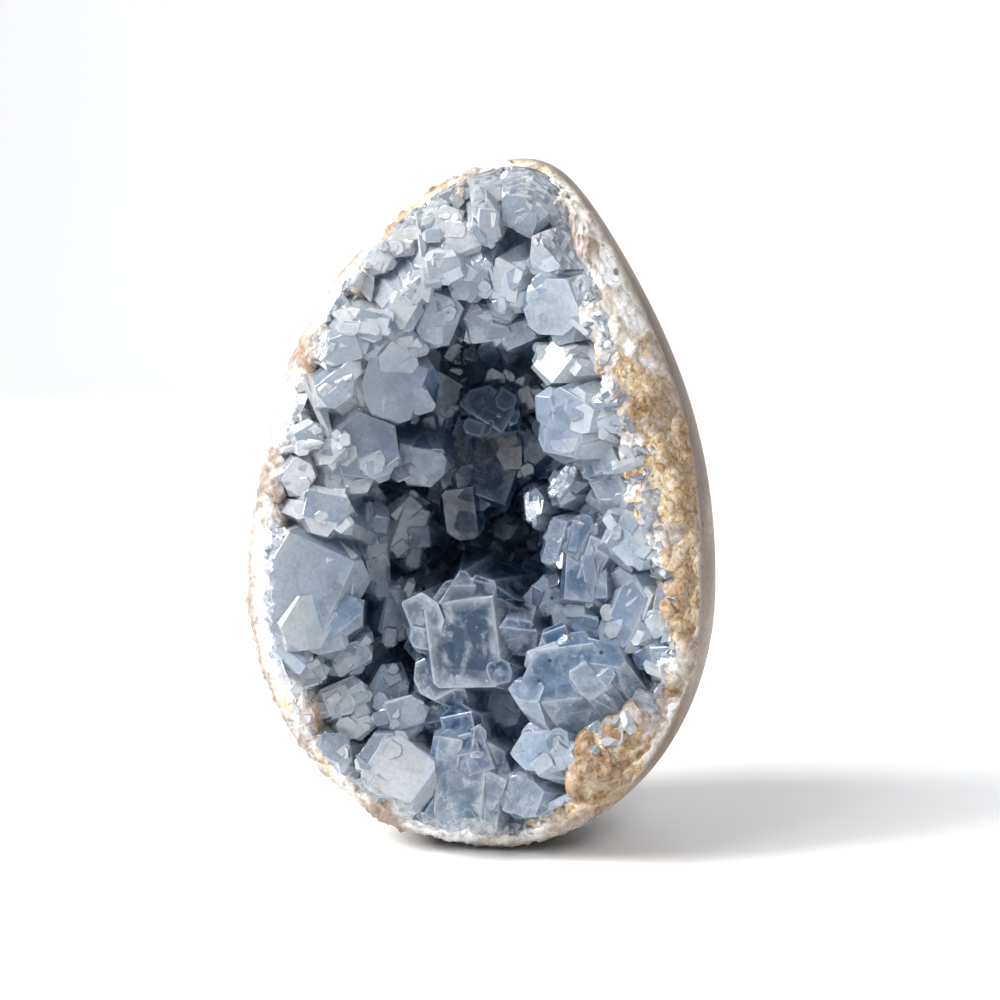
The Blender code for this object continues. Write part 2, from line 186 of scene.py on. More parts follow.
def bowl(angle, steps, spread=1.0, ahead=0.0):
    """Rings from the mouth to the floor; depth rises with a power of the way out from the middle."""
    mouth_share = BAND_REACH_THIN - (BAND_REACH_THIN - BAND_REACH_WIDE) * band_width(angle)
    mouth_forward = BAND_DEPTH_SHARE * depth_at_share(angle, mouth_share)
    rings = []
    for part in np.linspace(1.0, 0.0, steps + 1):
        rise = part**BOWL_POWER
        forward = mouth_forward * rise - BOWL_FLOOR * (1.0 - rise)
        ring = at_share(angle, mouth_share * part, forward + ahead)
        ring[:, 0] *= spread
        ring[:, 2] = MIDDLE_HEIGHT + spread * (ring[:, 2] - MIDDLE_HEIGHT)
        rings.append(ring)
    return np.array(rings)


print("band width up, right, down, left:", band_width(turns(4)).round(2))

# %% [markdown]
# ## Rough stone and small crystals as noise
# Broken stone needs bumps of many sizes. Blender's own displacement could give them, but a hollow needs
# them in known places, so two noises are worked out here for whole arrays at once. One is smooth. The
# other, druse, is a bed of tiny crystals: each cell of a lattice holds a tilted block, and the surface
# follows the highest block.

# %% Smooth noise for whole arrays
LATTICE_SIZE = 8192
LATTICE = np.random.RandomState(11).uniform(-1.0, 1.0, LATTICE_SIZE)
STRIDES = (73856093, 19349663, 83492791)
MIXER = 2654435761
SALT_STRIDE = 40503


def lattice_value(cells, salt):
    """One fixed random number from -1 to 1 for each lattice cell: a table read at a mixed-up cell number."""
    mixed = (cells[..., 0] * STRIDES[0]) ^ (cells[..., 1] * STRIDES[1]) ^ (cells[..., 2] * STRIDES[2])
    mixed = mixed * MIXER + salt * SALT_STRIDE
    return LATTICE[(mixed ^ (mixed >> 15)) & (LATTICE_SIZE - 1)]


def smooth_noise(points, size, salt):
    """Lattice numbers blended with a smooth step along each axis."""
    cells = np.floor(points / size).astype(np.int64)
    part = points / size - cells
    part = part * part * (3.0 - 2.0 * part)
    total = np.zeros(points.shape[:-1])
    for corner in itertools.product((0, 1), repeat=3):
        weight = np.prod(np.where(corner, part, 1.0 - part), axis=-1)
        total += weight * lattice_value(cells + np.array(corner), salt)
    return total


def fractal(points, size, salt, layers=4):
    """Layers of smooth noise, each half as big and half as high as the one before."""
    return sum(smooth_noise(points, size / 2**layer, salt + layer) / 2**layer for layer in range(layers))


PROBE = np.random.RandomState(1).uniform(0, 50, (2000, 3))
print("fractal noise spreads by", fractal(PROBE, 9.0, 1).std().round(2))

# %% Druse for whole arrays
BLOCK_COUNT = 32
BLOCK_SIDES = np.array([0.75, 1.0, 1.25])
CELL_SHIFT = 0.4
CELL_LIFT = 0.2
FAR_BELOW = -9.0


def random_turns(count, seed):
    """Random rotation matrices, from the orthogonal part of random matrices."""
    draw = np.random.RandomState(seed).normal(size=(count, 3, 3))
    return np.array([np.linalg.qr(matrix)[0] for matrix in draw])


BLOCKS = random_turns(BLOCK_COUNT, 5)
BLOCKS = np.concatenate([BLOCKS, -BLOCKS], axis=1) * np.tile(BLOCK_SIDES, 2)[None, :, None]


def druse(points, size, salt):
    """Height of the highest tilted block near each point, as a share of the blocks' spacing."""
    flat = points.reshape(-1, 3)
    cells = np.floor(flat / size).astype(np.int64)
    best = np.full(len(flat), FAR_BELOW)
    for step in itertools.product((-1, 0, 1), repeat=3):
        cell = cells + np.array(step)
        shift = np.stack([lattice_value(cell, salt + axis) for axis in range(3)], axis=-1)
        away = flat / size - (cell + 0.5 + CELL_SHIFT * shift)
        which = ((lattice_value(cell, salt + 3) * 0.5 + 0.5) * (len(BLOCKS) - 1)).astype(int)
        fall = np.einsum("nkc,nc->nk", BLOCKS[which], away).max(axis=1)
        best = np.maximum(best, CELL_LIFT * lattice_value(cell, salt + 4) - fall)
    return best.reshape(points.shape[:-1])


def druses(points, beds):
    """The sum of several beds, each given by its height, its spacing and its salt."""
    return sum(height * druse(points, size, salt) for height, size, salt in beds)


print("druse from", druse(PROBE, 3.0, 7).min().round(2), "to", druse(PROBE, 3.0, 7).max().round(2))

# %% [markdown]
# ## Turning rings into a closed mesh
# Every surface here is a grid of rings whose first and last ring shrink to a point, so one helper makes
# them all. Its signed volume says whether the faces point outwards. Materials later read numbers that are
# stored on the mesh, which stay with it however it is cut.

# %% Closed surface from rings
TINY = 1e-9


def unit(vector):
    """A vector over its own length."""
    return vector / np.maximum(np.linalg.norm(vector, axis=-1, keepdims=True), TINY)


def grid_normals(grid):
    """Unit normals of a grid of rings: the way in along the rings crossed with the way round each ring."""
    steps = unit(grid[1:] - grid[:-1])
    inward = np.concatenate([steps[:1], steps[:-1] + steps[1:], steps[-1:]])
    around = unit(np.roll(grid, -1, axis=1) - grid) + unit(grid - np.roll(grid, 1, axis=1))
    return unit(np.cross(inward, around))


def signed_volume(points, faces):
    """A sixth of the sum of the triple products of every triangle, above 0 when they face outwards."""
    a, b, c = (points[faces[:, place]] for place in (0, 1, 2))
    return np.einsum("ij,ij->i", a, np.cross(b, c)).sum() / 6.0


def closed_surface(name, rings):
    """A closed mesh over rings, with a pole at each end, faces outwards."""
    sides = rings.shape[1]
    inner = rings[1:-1].reshape(-1, 3)
    points = np.vstack([rings[0].mean(axis=0), inner, rings[-1].mean(axis=0)])
    index = 1 + np.arange(len(inner)).reshape(-1, sides)
    here, there = index[:-1], index[1:]
    quads = np.stack([here, np.roll(here, -1, 1), np.roll(there, -1, 1), there], axis=-1).reshape(-1, 4)
    start = np.stack([np.zeros(sides, int), np.roll(index[0], -1), index[0]], axis=-1)
    finish = np.stack([np.full(sides, len(points) - 1), index[-1], np.roll(index[-1], -1)], axis=-1)
    flat = np.concatenate([start, finish, quads[:, :3], quads[:, [0, 2, 3]]])
    if signed_volume(points, flat) < 0.0:
        start, finish, quads = start[:, ::-1], finish[:, ::-1], quads[:, ::-1]
    mesh = bpy.data.meshes.new(name)
    mesh.from_pydata(points * MM, [], start.tolist() + quads.tolist() + finish.tolist())
    thing = bpy.data.objects.new(name, mesh)
    bpy.context.scene.collection.objects.link(thing)
    return thing


tetrahedron = np.array([[0, 2, 1], [0, 1, 3], [1, 2, 3], [0, 3, 2]])
print("volume of a corner of a cube:", signed_volume(np.vstack([np.zeros(3), np.eye(3)]), tetrahedron))

# %% Numbers stored on a mesh
def stored_values(mesh, domain, name, values):
    """Stores one number for each point, face or corner under a name that a material can read."""
    flat = np.asarray(values, np.float32).ravel()
    mesh.attributes.new(name, "FLOAT", domain).data.foreach_set("value", flat)


def poles(values):
    """Values of a grid of rings in the order of the closed surface's vertices."""
    return np.concatenate([[values[0].mean()], values[1:-1].ravel(), [values[-1].mean()]])


def ease(values, start, width):
    """0 up to a start, 1 a width further on, and a straight line between."""
    return np.clip((values - start) / width, 0.0, 1.0)


print("ease at 0, 1, 2, 3:", ease(np.arange(4.0), 1.0, 2.0))

# %% [markdown]
# ## The rim of the egg
# A lapidary rounds and polishes the outside, and leaves the rim of the hollow as it broke. The rim reaches
# in over the crystals by a different share all round: least at the tip and at the foot, most on the
# right, with small waves. A Boolean could cut it; a formula keeps its edge free of slivers.

# %% How far the rim reaches in
RIM_REACH = 0.90
RIM_HUMPS = ((-0.075, 275.0, 45.0), (-0.05, 215.0, 30.0), (0.05, 355.0, 22.0))
RIM_WIDENING = 0.15
RIM_UPPER_RIGHT = ((-0.05, 35.0, 20.0),)
RIM_WAVES = ((0.018, 9.0, 0.0), (0.016, 23.0, 1.0), (0.010, 51.0, 0.0))
RIM_SINK = 0.22


def rim_reach(angle):
    """A share of the radius: humps first, then the band's own width, then three sine waves."""
    thin = humps(angle, RIM_HUMPS, RIM_REACH)
    wide = humps(angle, RIM_UPPER_RIGHT, thin - RIM_WIDENING * band_width(angle))
    return sum((height * np.sin(count * angle + start) for height, count, start in RIM_WAVES), wide)


def rim(angle, steps):
    """Rings from the polished edge to the rim's reach, on the egg but sinking by the square of the way."""
    edge = np.cos(skin_edge_angle(angle))
    rings = []
    for part in np.linspace(0.0, 1.0, steps + 1)[1:]:
        share = edge + (rim_reach(angle) - edge) * part
        rings.append(at_share(angle, share, (1.0 - RIM_SINK * part**2) * depth_at_share(angle, share)))
    return np.array(rings)


print("rim reaches to", rim_reach(turns(4)).round(2), "of the radius up, right, down, left")

# %% Rings of the stone egg
STONE_SIDES = 800
SKIN_STEPS = 50
SKIN_EDGE_STEPS = 8
BAND_STEPS = 46
STONE_BOWL_STEPS = 18
STONE_BOWL_SKIP = 4

stone_angle = turns(STONE_SIDES)
back_rings = []
for turn in np.radians(np.linspace(0.0, 90.0, SKIN_STEPS)):
    share = np.full_like(stone_angle, np.sin(turn))
    back_rings.append(at_share(stone_angle, share, -depth_at_share(stone_angle, share)))
for part in np.linspace(0.0, 1.0, SKIN_EDGE_STEPS + 1)[1:]:
    share = np.cos(skin_edge_angle(stone_angle) * part)
    back_rings.append(at_share(stone_angle, share, depth_at_share(stone_angle, share)))
stone_bowl = bowl(stone_angle, STONE_BOWL_STEPS)[STONE_BOWL_SKIP:]
stone_grid = np.concatenate([np.array(back_rings), rim(stone_angle, BAND_STEPS), stone_bowl])
print("stone grid:", stone_grid.shape[:2], "points")

# %% [markdown]
# ## White grains and tan crumbs
# The broken rim is mostly white and grainy, and tan and crumbly in a few places, where bits of it have
# fallen out. Image textures could show this, but only real relief catches the light at the edge of the
# egg. So the same numbers move the points here and mix the colours later.

# %% Where the stone is broken and tan
EARLY_RINGS = 6
EARLY_LEAST = 2.0
EARLY_HUMP = (325.0, 55.0)
BAND_FADE = 3.0
OCHRE_HUMPS = ((1.0, 68.0, 30.0), (1.0, 146.0, 14.0), (0.6, 231.0, 7.0), (0.7, 347.0, 8.0))
OCHRE_PATCH = 0.6
OCHRE_START = 0.45
OCHRE_FADE = 0.3
BROWN_HUMP = (142.0, 26.0)

band_start = len(back_rings)
past_edge = np.arange(len(stone_grid)) - band_start
early = EARLY_LEAST + EARLY_RINGS * hump(stone_angle, *EARLY_HUMP)
on_band = ease(past_edge[:, None] + early[None, :], 0.0, BAND_FADE)
ochre = np.clip(humps(stone_angle, OCHRE_HUMPS), 0.0, 1.0)[None, :]
ochre = ochre + OCHRE_PATCH * fractal(stone_grid, 14.0, 31) + OCHRE_PATCH * fractal(stone_grid, 4.0, 37)
ochre = ease(ochre, OCHRE_START, OCHRE_FADE) * on_band
brown = hump(stone_angle, *BROWN_HUMP)[None, :] * on_band
print("share of the broken band that is tan:", (ochre.sum() / on_band.sum()).round(2))

# %% Relief of the broken stone
GRAIN_BEDS = ((1.7, 2.4, 50), (0.9, 1.1, 60))
CRUMB_HEIGHT = 0.8
CRUMB_SIZE = 3.0
CRUMB_BEDS = ((0.9, 1.5, 65),)
PIT_SIZE = 2.2
PIT_START = 0.45
PIT_DEPTH = 1.6
BED_LIFT = 0.5
SWELL_HEIGHT = 0.9
SWELL_SIZE = 9.0
SWELL_DROP = 0.4
CHIP_SIZE = 2.4
CHIP_START = 0.82
CHIP_DEPTH = 0.5

grain = druses(stone_grid, GRAIN_BEDS) + BED_LIFT
crumble = CRUMB_HEIGHT * fractal(stone_grid, CRUMB_SIZE, 70) + druses(stone_grid, CRUMB_BEDS)
crumble = crumble - PIT_DEPTH * np.clip(smooth_noise(stone_grid, PIT_SIZE, 80) - PIT_START, 0.0, 1.0)
relief = (1.0 - ochre) * (grain + BED_LIFT) + ochre * (crumble + BED_LIFT)
relief = (relief + SWELL_HEIGHT * fractal(stone_grid, SWELL_SIZE, 90) - SWELL_DROP) * on_band
chips = -CHIP_DEPTH * np.clip(smooth_noise(stone_grid, CHIP_SIZE, 95) - CHIP_START, 0.0, 1.0)
chips = chips * (1.0 - on_band)
print("relief from", relief.min().round(1), "to", relief.max().round(1), "mm")

# %% Make the stone egg
RELIEF_SHADE = 0.45

stone_grid = stone_grid - grid_normals(stone_grid) * (relief + chips)[..., None]
stone_grid[..., 2] = np.maximum(stone_grid[..., 2], 0.0)
stone_egg = closed_surface("stone_egg", stone_grid)
# Stored for the material: painted shade that darkens the low places of the relief.
relief_shade = np.clip(0.5 + RELIEF_SHADE * relief, 0.0, 1.0)
for name, values in (("band", on_band), ("ochre", ochre), ("brown", brown), ("relief", relief_shade)):
    stored_values(stone_egg.data, "POINT", name, poles(values))
smooth_faces = np.arange(len(stone_egg.data.polygons)) < STONE_SIDES * (band_start - EARLY_RINGS)
stone_egg.data.polygons.foreach_set("use_smooth", smooth_faces)
print("stone_egg:", len(stone_egg.data.polygons), "faces")

# %% [markdown]
# ## Crystals from planes
# A celestite crystal is a block bounded by flat faces that meet at fixed angles. A box could be bevelled
# by hand for each one; here each is worked out from its planes: a main face, six sides and four bevels,
# and one more plane that ends it inside the stone. Every plane is an outward normal and a reach.

# %% Planes of a crystal
SIDE_ANGLES = np.radians([38.0, 90.0, 142.0, 218.0, 270.0, 322.0])
SIDE_REACHES = (0.86, 1.12)
SIDE_TURNS = (-0.10, 0.10)
CORNER_REACH = 1.1
END_BEVEL = np.radians(52.0)
SIDE_BEVEL = np.radians(39.0)
BEVEL_STARTS = (0.5, 1.0)
LEAST_LEAN = 0.1
ROOT_LENGTH = 3.0


def face_axes(face, turn):
    """The long and short axis of a face: level and upright directions in it, turned about its normal."""
    level = unit(np.cross((0.0, 0.0, 1.0), face))
    upright = np.cross(face, level)
    long_axis = np.cos(turn) * level + np.sin(turn) * upright
    return long_axis, np.cross(face, long_axis)


def crystal_planes(middle, face, root, growth, turn, half_length, half_breadth, draw):
    """Twelve planes of one crystal, each as an outward normal and a distance along it from the origin."""
    lean = face @ growth
    if lean < LEAST_LEAN:
        face = unit(face + (LEAST_LEAN - lean) * growth)
    long_axis, short_axis = face_axes(face, turn)
    planes = [(middle, face)]
    corner = CORNER_REACH * np.cos(SIDE_ANGLES[0]) * half_length
    for angle in SIDE_ANGLES:
        reach = half_breadth if abs(np.cos(angle)) < 0.5 else corner
        reach = reach * draw.uniform(*SIDE_REACHES)
        angle = angle + draw.uniform(*SIDE_TURNS)
        outward = np.cos(angle) * long_axis + np.sin(angle) * short_axis
        against = min(outward @ growth, 0.0)
        planes.append((middle + reach * outward, unit(outward - against * growth)))
    for axis, reach, bevel in (
        (long_axis, half_length, END_BEVEL),
        (-long_axis, half_length, END_BEVEL),
        (short_axis, half_breadth, SIDE_BEVEL),
        (-short_axis, half_breadth, SIDE_BEVEL),
    ):
        point = middle + draw.uniform(*BEVEL_STARTS) * reach * axis
        planes.append((point, np.cos(bevel) * face + np.sin(bevel) * axis))
    planes.append((root - ROOT_LENGTH * growth, -growth))
    normals = np.array([normal for _, normal in planes])
    return normals, np.array([point @ normal for point, normal in planes])


print("a face that looks forward has the axes", face_axes(np.array([0.0, -1.0, 0.0]), 0.0))

# %% [markdown]
# ## From planes to a mesh
# A corner is a point where three planes meet and no other plane cuts it off. The convex hull of the
# corners is the crystal. Its edges are taken off by a hair, because a real edge is never perfectly sharp
# and the thin face shines. The edges of each face are painted paler than its middle, partly as wear and
# partly as painted light through the thin edge, so each face keeps a number for that too.

# %% Corners and hull of a crystal
NEARLY_FLAT = 1e-3
CORNER_SLACK = 1e-6
SAME_CORNER = 2e-5
SAME_PLANE = 0.02
FEWEST_CORNERS = 4
PLAIN_CORE = 0.4


def corners_of(planes):
    """Corners of many convex bodies at once: every meeting of three planes that lies behind all of them."""
    normals, reaches = (np.array(part) for part in zip(*planes))
    triples = np.array(list(itertools.combinations(range(normals.shape[1]), 3)))
    meeting = normals[:, triples]
    good = np.abs(np.linalg.det(meeting)) > NEARLY_FLAT
    meeting[~good] = np.eye(3)
    points = np.linalg.solve(meeting, reaches[:, triples][..., None])[..., 0]
    behind = np.einsum("mtc,mpc->mtp", points, normals) <= reaches[:, None, :] + CORNER_SLACK
    good &= behind.all(axis=-1)
    return [one[keep] for one, keep in zip(points, good)]


def crystal_object(name, corners, edge, tint):
    """The convex hull of the corners, with its edges taken off by a small width.

    Each face keeps the crystal's tint, and "core" is 1 at the middle of a face and 0 at its edges.
    """
    hull = bmesh.new()
    for point in corners:
        hull.verts.new(point * MM)
    bmesh.ops.remove_doubles(hull, verts=hull.verts, dist=SAME_CORNER)
    bmesh.ops.convex_hull(hull, input=hull.verts)
    bmesh.ops.dissolve_limit(hull, angle_limit=SAME_PLANE, verts=hull.verts, edges=hull.edges)
    centres = set()
    if edge > 0.0:
        bevel = {"offset": edge * MM, "segments": 1, "affect": "EDGES", "clamp_overlap": True}
        worn = set(bmesh.ops.bevel(hull, geom=hull.edges[:], **bevel)["faces"])
        wide = [face for face in hull.faces if face not in worn]
        centres = set(bmesh.ops.poke(hull, faces=wide)["verts"])
    bmesh.ops.recalc_face_normals(hull, faces=hull.faces)
    hull.verts.index_update()
    centres = [vertex.index for vertex in centres]
    mesh = bpy.data.meshes.new(name)
    hull.to_mesh(mesh)
    hull.free()
    corner_vertex = np.zeros(len(mesh.loops), int)
    mesh.loops.foreach_get("vertex_index", corner_vertex)
    core = np.isin(corner_vertex, centres) if edge > 0.0 else np.full(len(corner_vertex), PLAIN_CORE)
    stored_values(mesh, "FACE", "tint", np.full(len(mesh.polygons), tint))
    stored_values(mesh, "CORNER", "core", core)
    return bpy.data.objects.new(name, mesh)


cube = np.concatenate([np.eye(3), -np.eye(3)])
print("corners of a cube from its planes:", len(corners_of([(cube, np.ones(6))])[0]))

# %% [markdown]
# ## The crystals that stand out
# These are the same crystals as in the solid, one line each: x, z and y of the middle of the main face,
# its half length and half breadth, the turn of its long axis from level, and how far the face looks right
# and up.

# %% Table of the large crystals
LARGE_CRYSTALS = (
    (-2.0, 45.5, -15, 12.0, 11.5, 8, 0.05, 0.10),
    (-31.0, 56.0, -21, 13.0, 10.0, 65, 0.28, 0.10),
    (-14.0, 18.0, -24, 9.0, 8.0, -35, 0.00, 0.18),
    (-0.5, 16.0, -22, 12.0, 7.0, 85, 0.05, 0.05),
    (20.0, 39.5, -20, 10.0, 7.5, 10, -0.05, 0.15),
    (39.0, 42.5, -18, 6.5, 3.5, 8, -0.30, 0.10),
    (30.0, 50.5, -15, 7.5, 5.0, 70, -0.35, 0.15),
    (21.5, 59.0, -12, 10.5, 4.5, 88, -0.20, 0.05),
    (18.0, 88.0, -17, 8.0, 5.5, 82, -0.35, -0.05),
    (16.5, 110.0, -18, 6.5, 6.0, 50, -0.20, -0.25),
    (16.0, 100.0, -15, 5.5, 4.5, -35, -0.42, 0.30),
    (11.0, 129.0, -20, 6.0, 5.5, 40, 0.10, -0.10),
    (4.0, 131.5, -20, 4.0, 3.0, 15, 0.05, 0.10),
    (3.5, 125.5, -18, 4.0, 2.5, 85, 0.10, -0.20),
    (15.5, 120.5, -20, 4.5, 4.0, -30, -0.15, -0.05),
    (-14.0, 95.0, -15, 8.5, 7.5, 70, 0.35, -0.10),
    (-15.5, 102.0, -17, 6.5, 3.5, 10, 0.25, -0.35),
    (-21.0, 82.5, -17, 7.5, 6.5, 40, 0.20, 0.12),
    (-11.5, 78.5, -9, 5.5, 4.0, -10, 0.10, -0.05),
    (-28.0, 71.0, -21, 5.5, 4.5, -10, 0.10, 0.30),
    (-25.0, 95.0, -23, 4.5, 3.5, 40, 0.05, 0.25),
    (-26.5, 82.5, -20, 3.5, 2.5, 50, -0.05, 0.30),
    (-20.5, 62.0, -8, 10.0, 3.5, 88, 0.75, 0.00),
    (-2.5, 78.0, 5, 12.0, 9.5, 70, 0.10, 0.10),
    (1.5, 89.0, 0, 6.0, 5.0, -30, -0.05, 0.20),
    (10.5, 71.0, -6, 3.5, 2.0, -75, -0.40, 0.30),
    (15.5, 64.5, -8, 5.5, 3.0, 80, -0.38, 0.28),
    (17.0, 75.0, -9, 4.0, 2.5, 55, -0.30, 0.35),
    (24.5, 81.0, -15, 5.0, 3.5, 25, -0.30, 0.10),
    (27.5, 74.5, -14, 5.5, 5.0, 20, -0.40, -0.30),
    (29.0, 56.0, -12, 4.5, 3.5, 30, -0.50, -0.30),
    (26.0, 110.0, -21, 5.0, 4.0, 75, -0.15, 0.05),
    (31.0, 65.5, -19, 6.0, 4.5, -40, -0.25, 0.10),
    (28.5, 90.0, -20, 4.5, 4.0, 60, -0.20, 0.05),
    (-23.5, 102.5, -22, 5.0, 3.5, 20, 0.10, 0.10),
    (-18.0, 107.0, -21, 4.5, 2.5, -10, 0.15, 0.25),
    (-12.5, 109.5, -18, 4.5, 3.5, 60, 0.20, -0.10),
    (-6.5, 107.5, -15, 5.5, 3.5, 70, 0.10, 0.05),
    (-5.5, 117.5, -18, 4.5, 3.0, 10, 0.10, -0.05),
    (0.0, 114.5, -15, 5.0, 4.0, 50, 0.05, -0.25),
    (2.0, 106.5, -11, 6.0, 4.0, 5, 0.00, -0.25),
    (7.0, 114.5, -15, 5.5, 3.5, 80, -0.10, -0.15),
    (9.0, 105.0, -11, 5.0, 2.5, 20, -0.10, 0.10),
    (-13.5, 122.5, -22, 3.5, 3.0, 10, 0.05, 0.15),
    (-5.0, 126.5, -21, 4.0, 3.0, 30, 0.05, 0.10),
    (-18.0, 119.5, -22, 3.5, 2.5, 60, 0.00, 0.15),
    (-28.5, 21.0, -21, 5.5, 4.0, 50, 0.15, 0.20),
    (-23.0, 27.5, -16, 4.5, 3.5, 40, 0.25, -0.05),
    (-13.5, 29.5, -18, 5.0, 4.0, 20, 0.10, 0.10),
    (-6.5, 29.5, -15, 4.5, 2.5, 10, 0.05, 0.10),
    (-17.0, 34.0, -13, 5.0, 3.5, 60, 0.15, 0.15),
    (-26.0, 33.0, -17, 5.0, 3.0, 20, 0.20, 0.20),
    (-33.5, 37.5, -20, 5.0, 3.0, 30, 0.10, 0.15),
    (-25.0, 40.0, -14, 5.0, 3.0, 30, 0.30, 0.05),
    (10.5, 14.5, -21, 5.0, 4.0, 70, -0.05, 0.00),
    (14.5, 24.0, -20, 6.5, 5.0, 10, -0.05, 0.15),
    (4.5, 30.5, -9, 6.0, 4.0, -20, -0.05, 0.25),
    (20.0, 48.0, -11, 5.5, 3.0, -20, -0.20, 0.10),
    (24.5, 25.0, -20, 4.5, 3.5, 40, -0.10, 0.15),
    (34.5, 33.5, -19, 4.5, 3.0, -20, -0.20, 0.15),
    (-31.5, 85.0, -21, 3.5, 3.0, 30, 0.05, 0.10),
    (-33.5, 77.0, -20, 4.0, 3.0, 60, 0.10, -0.05),
    (-24.0, 76.0, -17, 5.0, 3.0, 5, 0.15, 0.20),
    (-36.0, 44.0, -20, 4.5, 2.5, -50, 0.15, 0.05),
    (-10.5, 91.5, 6, 7.0, 5.5, 60, 0.20, 0.00),
    (6.0, 80.5, 6, 7.0, 5.5, 40, -0.15, 0.05),
    (5.5, 92.0, 3, 6.0, 4.5, 20, -0.10, -0.20),
    (12.5, 51.5, -6, 5.5, 3.5, 50, -0.15, 0.10),
    (-16.5, 48.5, -6, 6.0, 3.5, 80, 0.35, 0.05),
    (-15.5, 64.5, -2, 7.0, 4.0, 70, 0.50, 0.00),
    (34.0, 81.5, -19, 4.0, 3.0, 30, -0.25, 0.10),
    (37.0, 74.0, -19, 4.0, 3.0, 70, -0.25, 0.00),
    (38.0, 51.0, -18, 4.5, 3.0, 40, -0.30, 0.05),
    (31.0, 103.0, -20, 4.0, 3.0, 20, -0.15, 0.10),
    (24.0, 118.0, -20, 4.0, 3.0, 60, -0.15, 0.00),
    (18.5, 125.5, -20, 4.0, 3.0, 80, -0.10, 0.05),
    (-1.0, 122.5, -17, 4.5, 3.0, 20, 0.05, -0.15),
    (-9.5, 114.0, -18, 4.0, 2.5, 50, 0.10, 0.00),
)
print("large crystals in the table:", len(LARGE_CRYSTALS))

# %% [markdown]
# ## Growth steps
# Celestite grows in layers, so a big crystal carries smaller blocks, turned nearly as it is and set
# along its edges. A bump map could only hint at them. They are real blocks here, so that light bends in
# them. Each crystal has a seed of its own, which keeps it the same when another one is added.

# %% Blocks on a crystal
WALL_SIDES = 48
WALL_STEPS = 6
WALL_BAND_STEPS = 3
STEPS_EACH = 8
STEP_OUT = (0.35, 0.95)
STEP_SIZES = (0.22, 0.55)
STEP_BACK = (-0.12, 0.22)
STEP_BREADTHS = (0.8, 1.2)
STEP_TURN = 0.35
STEP_TILT = 0.12


def between(first, last, steps):
    """Rings in straight lines from one ring to another, without the two ends."""
    part = np.linspace(0.0, 1.0, steps + 2)[1:-1, None, None]
    return first + (last - first) * part


def growth_steps(middle, face, root, growth, turn, half_length, half_breadth, draw):
    """Planes of smaller blocks at random places along an ellipse on the main face."""
    long_axis, short_axis = face_axes(face, turn)
    for _ in range(STEPS_EACH):
        side = draw.uniform(0.0, 2.0 * np.pi)
        out = draw.uniform(*STEP_OUT)
        small = draw.uniform(*STEP_SIZES)
        along = np.cos(side) * half_length * long_axis + np.sin(side) * half_breadth * short_axis
        back = draw.uniform(*STEP_BACK) * half_breadth * out
        place = middle + out * along - back * face
        own_turn = turn + draw.normal(0.0, STEP_TURN)
        own_face = unit(face + draw.normal(0.0, STEP_TILT, 3))
        sizes = small * half_length, small * half_breadth * draw.uniform(*STEP_BREADTHS)
        yield crystal_planes(place, own_face, root, growth, own_turn, *sizes, draw)


wall_angle = turns(WALL_SIDES)
wall_bowl = bowl(wall_angle, WALL_STEPS)
wall_band = between(skin_edge(wall_angle), wall_bowl[0], WALL_BAND_STEPS)[1:]
rough_wall = np.concatenate([wall_band, wall_bowl]).reshape(-1, 3)
print("points of the wall that a crystal may grow from:", len(rough_wall))

# %% Large crystals
UNDER_GROUND = 0.6
GROWTH_TO_FACE = 0.6
FIRST_SEED = 100
LARGE_EDGE = 0.10
STEP_EDGE = 0.07
PLAIN_TINTS = (0.1, 0.5)
WINDOW_LIT_ABOVE = 85.0
WINDOW_LIT_LEFT_OF = -10.0
WINDOW_LIT_SHARE = 0.4
DEEP_SHARE = 1.25
STEP_TINTS = (-0.2, 0.1)
LARGE_TINTS = {
    0: 1.0, 1: 0.35, 2: 0.0, 3: 0.85, 4: 0.62, 7: 0.6, 8: 0.35,
    9: 0.5, 11: 0.25, 15: 0.3, 17: 0.2, 23: 1.0, 24: 0.9,
}

large_planes = []
large_tints = []
step_planes = []
step_tints = []
for number, (x, z, forward, half_length, half_breadth, turn, right, up) in enumerate(LARGE_CRYSTALS):
    draw = np.random.RandomState(FIRST_SEED + number)
    forward = max(forward, UNDER_GROUND - egg_depth(x, z))
    middle = np.array([x, middle_y(z) + forward, z])
    face = unit(np.array([right, -1.0, up]))
    root = rough_wall[np.argmin(((rough_wall - middle) ** 2).sum(axis=1))]
    growth = unit(unit(middle - root) + GROWTH_TO_FACE * face)
    crystal = (middle, face, root, growth, np.radians(turn), half_length, half_breadth, draw)
    large_planes.append(crystal_planes(*crystal))
    # Painted light: crystals high up or on the left, where the window light falls, get paler tints; the rest
    # a deeper one.
    depth_of_blue = WINDOW_LIT_SHARE if z > WINDOW_LIT_ABOVE or x < WINDOW_LIT_LEFT_OF else DEEP_SHARE
    plain_tint = draw.uniform(*PLAIN_TINTS) * depth_of_blue
    large_tints.append(LARGE_TINTS.get(number, plain_tint))
    for planes in growth_steps(*crystal):
        step_planes.append(planes)
        step_tints.append(np.clip(large_tints[-1] + draw.uniform(*STEP_TINTS), 0.0, 1.0))
large_crystals = [
    crystal_object(f"large_{number}", corners, LARGE_EDGE, tint)
    for number, (corners, tint) in enumerate(zip(corners_of(large_planes), large_tints))
]
large_crystals += [
    crystal_object(f"step_{number}", corners, STEP_EDGE, tint)
    for number, (corners, tint) in enumerate(zip(corners_of(step_planes), step_tints))
    if len(corners) >= FEWEST_CORNERS
]
print("large crystals and their steps:", len(large_crystals))

# %% [markdown]
# ## The small crystals between them
# Hundreds of little crystals fill the wall. Scattered instances would stay unjoined, so each one is a
# convex body with few faces, grown from a point of the wall, and all are fused later. The first of them
# stand up between the large ones. The rest cover the wall: points are taken in random order, and one
# that is too near a point already taken is left out, which spaces them evenly.

